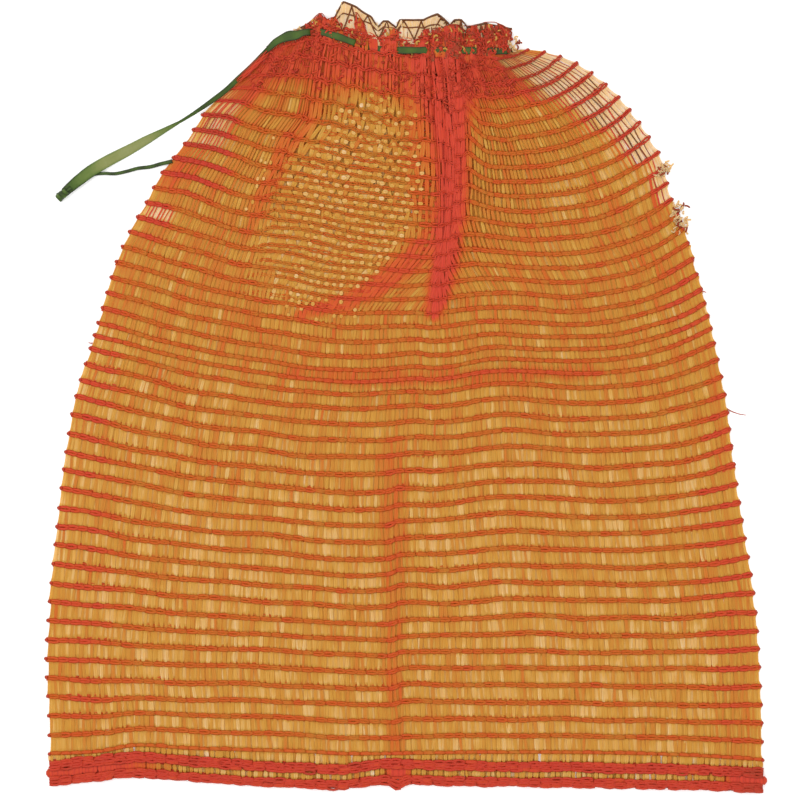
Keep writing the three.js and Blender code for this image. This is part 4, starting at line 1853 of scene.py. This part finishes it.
@dataclass
class Hem:
    """The sewn bottom hem: two dense bands of chain with a line of slits between them.

    Rows, fillings and slits are given by their distance up from the hem's lower edge.
    """

    pattern: NetPattern
    material: bpy.types.Material
    edge: Pairs = (
        (0, -188.5), (0.12, -184), (0.28, -188.5), (0.413, -190.3), (0.4635, -187.6), (0.5, -187.5),
        (0.538, -188.1), (0.625, -188.9), (0.72, -189), (0.92, -190.5), (1, -192),
    )
    left_corner: float = -174.0
    right_corner: float = 173.5
    corner_bunch: float = 1.2
    bunching: Span = (0.95, 1.0)
    knot_share: float = 0.489
    notch_depth: float = 2.6
    notch_half: float = 0.016
    notch_fading: Span = (0.5, 7.0)
    tone: float = 0.66
    bases: Span = (0.75, 2.35)
    rows: tuple[float, ...] = (0.9, 2.1, 3.3, 8.4, 9.8, 11.2)
    stitch_half_width: float = 0.66
    stitch_half_height: float = 0.26
    stitch_lift: float = 0.2
    loop_lift: float = 0.4
    stitch_jitter: float = 0.15
    loop_jitter: float = 0.2
    row_jitter: float = 0.22
    tone_jitter: float = 0.03
    corner_tone: float = 0.1
    corner_toning: Span = (0.94, 0.99)
    fillings: Pairs = ((0.5, 3.8), (8.0, 11.8))
    filling_stations: int = 160
    filling_half_height: float = 0.14
    filling_wave: float = 0.02
    filling_turns: float = 90.0
    slit: Span = (3.8, 8.0)
    slit_films: tuple[SlitFilm, ...] = (
        SlitFilm(Layer.BACK, base=0.75, half_width=1.9, tone=0.12),
        SlitFilm(Layer.FRONT, base=1.9, half_width=0.95, tone=0.16),
    )
    slit_outline: tuple[float, ...] = (0.7, 1.0, 1.0, 0.7)
    slit_tones: tuple[float, ...] = (0.1, 0.0, 0.0, 0.1)
    slit_half_height: float = 0.12
    slit_limits: Span = (0.003, 0.997)
    slit_jitter: float = 0.2
    slit_lean: float = 0.1
    slit_width_jitter: float = 0.15
    slit_tone_jitter: float = 0.05
    left_closing: float = 0.8
    left_opening: Span = (0.09, 0.2)
    knot_half: float = 0.03
    right_closing: Span = (0.93, 0.97)
    closed_tone: float = 1.2

    def surface(self, share: Any, height: Any, lift: Any) -> Array:
        """Place points of the hem.

        Args:
            share: Places across the bag.
            height: Distances up from the hem's lower edge, in millimetres.
            lift: Heights above the floor.

        Returns:
            Points in millimetres.
        """
        share, height, lift = np.broadcast_arrays(share, height, lift)
        x = blend(self.left_corner, self.right_corner, share)
        notch = ridge((share - self.knot_share) / self.notch_half) * (1.0 - ease(height, *self.notch_fading))
        y = along(self.edge, share) + height - self.notch_depth * notch
        bunch = self.corner_bunch * ease(share, *self.bunching)
        return np.stack([x, y, lift + bunch], axis=-1)

    def closed_at(self, share: Any) -> Any:
        """Give how far the slits are drawn shut, at the left end, at the centre knot and at the right corner.

        Args:
            share: Places across the bag.

        Returns:
            Values from 0 for open slits to 1 for closed ones.
        """
        left = self.left_closing * (1.0 - ease(share, *self.left_opening))
        knot = ridge((share - self.knot_share) / self.knot_half)
        return np.maximum(np.maximum(left, knot), ease(share, *self.right_closing))

    def bands(self, draw: np.random.Generator) -> Strips:
        """Sew the two bands, on the front and on the back.

        Args:
            draw: The source of unevenness.

        Returns:
            One closed strip for each stitch, over flat filling tapes.
        """
        strips = Strips()
        stitches = self.pattern.stitches
        stitch = np.arange(stitches)[:, None]
        run = np.linspace(0.0, 1.0, self.filling_stations)
        for base in self.bases:
            for row in self.rows:
                uneven = draw.normal(0.0, 1.0, (stitches, 3, 1))
                share = (stitch + LOOP_STEP + self.stitch_jitter * uneven[:, 0]) / stitches
                share = np.clip(share, 0.0, 1.0)
                height = row + LOOP_ACROSS * (1.0 + self.loop_jitter * uneven[:, 1])
                height = height + self.row_jitter * uneven[:, 2]
                lines = self.surface(share, height, base + self.stitch_lift + self.loop_lift * LOOP_LIFT)
                tone = self.tone + self.tone_jitter * uneven[:, 1]
                tone = tone + self.corner_tone * ease(share, *self.corner_toning)
                strips.add(lines, facing_up(lines), self.stitch_half_width, self.stitch_half_height, tone)
            for low, high in self.fillings:
                line = self.surface(run, (low + high) / 2.0, base)
                tone = self.tone + self.filling_wave * np.sin(self.filling_turns * run)
                strips.add(line, facing_up(line), (high - low) / 2.0, self.filling_half_height, tone)
        return strips

    def slits(self, draw: np.random.Generator) -> Strips:
        """Cross the light slits between the bands, and the gap from the hem to the first row.

        Args:
            draw: The source of unevenness.

        Returns:
            One short strip for each crossing tape.
        """
        strips = Strips()
        count = 2 * self.pattern.stitches
        outline = np.array(self.slit_outline)
        up = np.linspace(0.0, 1.0, len(outline))
        for film in self.slit_films:
            for joins_row in (False, True):
                uneven = draw.normal(0.0, 1.0, (count, 3, 1))
                share = np.arange(count)[:, None] + 0.5 + self.slit_jitter * uneven[:, 0]
                share = share + self.slit_lean * uneven[:, 1] * (up - 0.5)
                share = np.clip(share / count, *self.slit_limits)
                if joins_row:
                    low = self.surface(share, self.rows[-1], film.base)
                    lines = blend(low, self.pattern.surface(share, 0.0, film.layer), up[:, None])
                    closed = 0.0
                else:
                    lines = self.surface(share, blend(*self.slit, up), film.base)
                    closed = self.closed_at(share)
                fullness = 1.0 + self.slit_width_jitter * uneven[:, 1] + closed
                half_width = film.half_width * fullness * outline
                tone = film.tone + self.slit_tone_jitter * uneven[:, 2] + np.array(self.slit_tones)
                tone = blend(tone, self.tone, np.minimum(self.closed_tone * closed, 1.0))
                strips.add(lines, facing_up(lines), half_width, self.slit_half_height, tone)
        return strips

    def build(self) -> list[bpy.types.Object]:
        """Make the hem's pieces.

        Returns:
            The pieces, each standing for the solid bag.
        """
        draw = np.random.default_rng(SEED + 1)
        bands = self.bands(draw).make("hem_bands", self.material)
        slits = self.slits(draw).make("hem_slits", self.material, smooth=False)
        for piece in (bands, slits):
            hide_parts("net_bag")
        return [bands, slits]


SIDE_POWER = 0.8  # below 1, so that a section's sides are blunter than an ellipse's
FACE_POWER = 0.45  # below 1, so that its faces are flatter


def tape_section(corners: int, ribs: float) -> list[tuple[float, float]]:
    """Give the section of a flat tape with rounded edges and fine lengthwise ribs.

    Args:
        corners: How many corners the section has.
        ribs: Depth of the ribs as a share of the thickness.

    Returns:
        The corners, anticlockwise, on a scale of 1.
    """
    section = []
    for corner in range(corners):
        angle = FULL_TURN * corner / corners
        rib = 1.0 - ribs * (corner % 2)
        across = math.copysign(abs(math.cos(angle)) ** SIDE_POWER, math.cos(angle))
        upward = math.copysign(abs(math.sin(angle)) ** FACE_POWER, math.sin(angle))
        section.append((across, upward * rib))
    return section


BROAD_TAPE = tape_section(16, 0.25)
FOLDED_TAPE = tape_section(10, 0.1)
CUT_TAPE = tape_section(10, 0.2)


@dataclass
class Knot:
    """The knot of the two ends: wraps of folded tape round a core, and two short cut ends.

    Each cut end is its place beside the core, its reach along it and its rise, in millimetres.
    """

    centre: tuple[float, float, float] = (-167.6, 99.6, 2.7)
    heading: tuple[float, float, float] = (-0.78, -0.62, 0.0)
    half_turns: float = 5.2
    wrap_stations: int = 90
    radius: float = 1.35
    bulge: float = 0.35
    wrap_reach: Span = (-2.6, 2.2)
    wrap_slant: float = 0.5
    wrap_half_width: float = 1.15
    wrap_half_height: float = 0.42
    wrap_tone: float = 0.8
    wrap_tone_wave: float = 0.12
    wrap_tone_turns: float = 1.5
    cut_ends: Route = ((0.5, 3.2, -1.2), (-0.7, 2.4, -0.6))
    cut_start: float = -5.5
    cut_stations: int = 12
    cut_spread: float = 0.3
    cut_tilt: float = 0.5
    cut_half_width: Span = (1.2, 1.6)
    cut_half_height: float = 0.4
    cut_tone: Span = (0.82, 0.72)

    def strips(self) -> Strips:
        """Tie the two ends.

        Returns:
            One closed strip for the wraps and one for each cut end.
        """
        centre = np.array(self.centre)
        axis = unit(np.array(self.heading))
        beside = np.array([-axis[1], axis[0], 0.0])
        turn = np.linspace(0.0, self.half_turns * math.pi, self.wrap_stations)
        step = turn / turn[-1]
        radius = self.radius + self.bulge * np.sin(math.pi * step)
        outward = np.cos(turn)[:, None] * beside + np.sin(turn)[:, None] * UPWARD
        forward = blend(*self.wrap_reach, step) + self.wrap_slant * np.sin(turn)
        wraps = centre + outward * radius[:, None] + axis * forward[:, None]
        tone = self.wrap_tone + self.wrap_tone_wave * np.cos(turn * self.wrap_tone_turns)
        strips = Strips().add(
            wraps, outward, self.wrap_half_width, self.wrap_half_height, tone, FOLDED_TAPE
        )
        step = np.linspace(0.0, 1.0, self.cut_stations)
        run = step[:, None]
        half_width = blend(*self.cut_half_width, step)
        tone = blend(*self.cut_tone, step)
        for aside, reach, rise in self.cut_ends:
            end = centre + axis * blend(self.cut_start, reach, run) + beside * aside * (self.cut_spread + run)
            end = end + UPWARD * rise * run**2
            ups = np.broadcast_to(unit(UPWARD + self.cut_tilt * aside * beside), end.shape)
            strips.add(end, ups, half_width, self.cut_half_height, tone, CUT_TAPE)
        return strips


@dataclass
class Drawstring:
    """The flat tape that closes the neck, with its free end, the thin second end and the knot.

    The stretches shown at the neck are given by their first and last x in millimetres, and by how
    far they lie over the net.
    """

    pattern: NetPattern
    material: bpy.types.Material
    width: float = 5.4
    thickness: float = 0.36
    neck_line: Pairs = (
        (-69, 168.6), (-63.7, 173.5), (-57.8, 176.2), (-53.6, 176.8), (-49.7, 178), (-43, 178.6),
        (-37.3, 177), (-32.5, 175.7), (-26.6, 173.5), (-18, 171), (-5, 169.4), (52, 169.3),
    )
    neck_width: Pairs = ((-69, 1.9), (-64, 3.3), (-58, 5), (-53.5, 4.3), (-49.5, 3.4), (52, 3.4))
    shown: Route = (
        (-73, -48, 1), (-41, -26, 0.68), (-3.5, 9.5, 0.68), (14.5, 20, 0.9), (26, 33.5, 0.85),
        (39.5, 48.5, 0.6),
    )
    dive: float = 2.0
    under_to_over: Span = (-1.4, 1.9)
    neck_lowest: float = 1.2
    neck_stations: int = 180
    neck_pulse: float = 0.08
    neck_pulse_turns: float = 70.0
    neck_tone: float = 0.77
    neck_end: Span = (32.0, 42.0)
    neck_end_tone: float = 0.1
    neck_tone_wave: float = 0.05
    neck_tone_turns: float = 83.0
    tail_route: Route = (
        (-67.4, 170.6, 4.6), (-70.2, 167.6, 4.4), (-75.8, 161.8, 4), (-81.6, 156.4, 3.8), (-87.6, 150.7, 3.5),
        (-94.1, 145.7, 3.4), (-101.3, 140.7, 3.2), (-109, 135.9, 2.4), (-117.5, 131.3, 1.6),
        (-126, 126.7, 1.1), (-135.5, 121.4, 1), (-145, 116.4, 1.6), (-153, 111.6, 2.4),
        (-159.4, 106.8, 2.5), (-164, 103, 2.6), (-166.6, 100.6, 2.6),
    )
    tail_width: Pairs = (
        (0, 2), (0.06, 2.2), (0.2, 2.6), (0.3, 2.6), (0.4, 1.9), (0.46, 1.6), (0.54, 2.9), (0.62, 4.4),
        (0.71, 5.3), (0.8, 5.7), (0.88, 5.8), (0.94, 5.4), (1, 4.4),
    )
    tail_roll: Pairs = ((0, 0.2), (0.3, 0.4), (0.46, 0.7), (0.6, 0.2), (1, 0.08))
    tail_tone: Pairs = (
        (0, 0.8), (0.15, 0.76), (0.36, 0.84), (0.46, 0.7), (0.56, 0.32), (0.65, 0.18), (0.8, 0.24),
        (0.9, 0.55), (1, 0.82),
    )
    tail_stations: int = 120
    tail_clearance: float = 0.35
    tail_tone_wave: float = 0.03
    tail_tone_turns: float = 60.0
    strand_route: Route = (
        (-114.2, 115.9, 1.7), (-117.8, 115.1, 1.2), (-120.4, 114.5, 1), (-125.2, 113.2, 0.8),
        (-131, 112.5, 0.8), (-136.2, 111.1, 0.8), (-142, 109.9, 0.8), (-147.5, 110, 0.8),
        (-152.5, 109.4, 0.8), (-157.4, 106.6, 0.8), (-161.6, 103.2, 0.8),
    )
    strand_width: float = 1.4
    strand_stations: int = 60
    strand_fullness: Span = (1.4, 1.05)
    strand_half_height: float = 0.45
    strand_tone: float = 0.95
    strand_tone_wave: float = -0.18
    strand_tone_turns: float = 21.0

    @staticmethod
    def metres(points: Array) -> Array:
        """Turn places in the pattern's frame into metres in the part's frame."""
        return (points + PATTERN_SHIFT) * METRE

    @staticmethod
    def length_of(path: Array) -> float:
        """Add up the lengths of a path's steps."""
        return float(np.linalg.norm(np.diff(path, axis=0), axis=1).sum())

    def neck(self) -> bpy.types.Object:
        """Thread the tape along the neck, over and under the front layer.

        Returns:
            The piece that stands for the tape across the neck.
        """
        share = np.linspace(0.0, 1.0, self.neck_stations)
        x = blend(self.neck_line[0][0], self.neck_line[-1][0], share)
        over = np.zeros_like(share)
        for start, end, strength in self.shown:
            span = window(x, (start - self.dive, start), (end, end + self.dive))
            over = np.maximum(over, strength * span)
        front = self.pattern.front_height * self.pattern.cloth_height(share, 1.0)
        z = np.maximum(front + blend(*self.under_to_over, over), self.neck_lowest)
        line = np.stack([x, flow(self.neck_line, x), z], axis=-1)
        pulse = 1.0 + self.neck_pulse * np.sin(self.neck_pulse_turns * share)
        half = 0.5 * along(self.neck_width, x) * pulse
        tone = self.neck_tone + self.neck_end_tone * ease(x, *self.neck_end)
        tone = tone + self.neck_tone_wave * np.sin(self.neck_tone_turns * share)
        strips = Strips().add(line, facing_up(line), half, self.thickness / 2.0, tone, BROAD_TAPE)
        piece = strips.make("tape_neck", self.material)
        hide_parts("drawstring_neck")
        return piece

    def tail(self) -> bpy.types.Object:
        """Lay the free end on the floor, with a half twist near the bag.

        Returns:
            The piece.
        """
        line = curve_points(self.tail_route, self.tail_stations)
        step = np.linspace(0.0, 1.0, self.tail_stations)
        roll = along(self.tail_roll, step)
        half = 0.5 * along(self.tail_width, step)
        line[:, 2] = np.maximum(line[:, 2], half * np.abs(np.sin(roll)) + self.tail_clearance)
        upward = facing_up(line)
        beside = unit(np.cross(upward, unit(np.gradient(line, axis=0))))
        ups = upward * np.cos(roll)[:, None] + beside * np.sin(roll)[:, None]
        tone = along(self.tail_tone, step) + self.tail_tone_wave * np.sin(self.tail_tone_turns * step)
        strips = Strips().add(line, ups, half, self.thickness / 2.0, tone, BROAD_TAPE)
        piece = strips.make("tape_tail", self.material)
        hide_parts("drawstring_tail")
        return piece

    def strand(self) -> bpy.types.Object:
        """Lay the thin second end from the bag's side to the knot.

        Returns:
            The piece.
        """
        line = curve_points(self.strand_route, self.strand_stations)
        step = np.linspace(0.0, 1.0, self.strand_stations)
        half = 0.5 * self.strand_width * blend(*self.strand_fullness, step)
        tone = self.strand_tone + self.strand_tone_wave * np.abs(np.sin(self.strand_tone_turns * step))
        strips = Strips().add(line, facing_up(line), half, self.strand_half_height, tone, FOLDED_TAPE)
        piece = strips.make("tape_strand", self.material)
        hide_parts("drawstring_strand")
        return piece

    def build(self) -> list[bpy.types.Object]:
        """Make the drawstring's pieces.

        Returns:
            The pieces, each standing for one solid piece.
        """
        knot = Knot().strips().make("tape_knot", self.material)
        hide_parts("drawstring_knot")
        return [self.neck(), self.tail(), self.strand(), knot]


WHITE = (1.0, 1.0, 1.0, 1.0)


@dataclass(frozen=True)
class Lamp:
    """One large soft lamp that looks at the bag, in metres and watts."""

    name: str
    place: tuple[float, float, float]
    size: float
    power: float

    def hang(self) -> None:
        """Add the lamp to the scene."""
        data = bpy.data.lights.new(self.name, "AREA")
        data.size = self.size
        data.energy = self.power
        lamp = bpy.data.objects.new(self.name, data)
        lamp.location = self.place
        lamp.rotation_euler = Vector(self.place).to_track_quat("Z", "Y").to_euler()
        bpy.context.scene.collection.objects.link(lamp)


@dataclass
class Studio:
    """The pale table, the soft light and the camera straight above.

    The view is in millimetres in the pattern's frame, the rest in metres.
    """

    view_width: float = 390.4
    view_centre: Span = (-3.17, -0.49)
    camera_height: float = 1.7
    camera_range: float = 20.0
    sensor: float = 36.0
    floor_size: float = 6.0
    floor_colour: str = "#f7f7f6"
    floor_roughness: float = 0.9
    floor_gloss: float = 0.1
    floor_glow: float = 0.2
    dome: float = 1.0
    lamps: tuple[Lamp, ...] = (
        Lamp("key", (-0.7, 0.5, 1.2), size=1.0, power=7.0),
        Lamp("fill", (0.8, -0.6, 1.1), size=1.2, power=2.5),
    )

    def camera(self) -> bpy.types.Object:
        """Hang the camera over the bag, looking straight down.

        Returns:
            The camera.
        """
        data = bpy.data.cameras.new("camera")
        data.sensor_width = self.sensor
        data.lens = self.sensor * self.camera_height / (self.view_width * METRE)
        data.clip_end = self.camera_range
        camera = bpy.data.objects.new("camera", data)
        x, y = (np.array([*self.view_centre, 0.0]) + PATTERN_SHIFT)[:2] * METRE
        camera.location = (x, y, self.camera_height)
        bpy.context.scene.collection.objects.link(camera)
        bpy.context.scene.camera = camera
        return camera

    def floor(self) -> bpy.types.Object:
        """Lay the pale table top.

        Returns:
            The floor.
        """
        bpy.ops.object.select_all(action="DESELECT")
        bpy.ops.mesh.primitive_plane_add(size=self.floor_size)
        floor = bpy.context.object
        floor.name = "floor"
        material = bpy.data.materials.new("table_top")
        material.use_nodes = True
        look = {
            "Base Color": paint(self.floor_colour),
            "Roughness": self.floor_roughness,
            "Specular IOR Level": self.floor_gloss,
            "Emission Color": WHITE,
            "Emission Strength": self.floor_glow,
        }
        for socket, value in look.items():
            material.node_tree.nodes["Principled BSDF"].inputs[socket].default_value = value
        floor.data.materials.append(material)
        return floor

    def build(self) -> None:
        """Set up the world, the lamps, the floor and the camera."""
        world = bpy.data.worlds.new("studio")
        world.use_nodes = True
        background = world.node_tree.nodes["Background"]
        background.inputs["Color"].default_value = WHITE
        background.inputs["Strength"].default_value = self.dome
        bpy.context.scene.world = world
        bpy.context.scene.view_settings.view_transform = "Standard"
        for lamp in self.lamps:
            lamp.hang()
        self.floor()
        self.camera()


def main() -> None:
    """Dress the bag, piece by piece."""
    logging.basicConfig(level=logging.INFO, format="%(name)s: %(message)s")
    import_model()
    Studio().build()
    pattern = NetPattern()
    film = NET_FILM.make()
    tape = TAPE_FILM.make()
    drawn = Drawstring(pattern, tape).build()
    knitted = Net(pattern, film).build() + Hem(pattern, film).build()
    for slot, pieces in (("tape", drawn), ("net", knitted)):
        for piece in pieces:
            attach(piece, BODY)
            LOG.info("%s has %d faces", piece.name, len(piece.data.polygons))


if __name__ == "__main__":
    main()
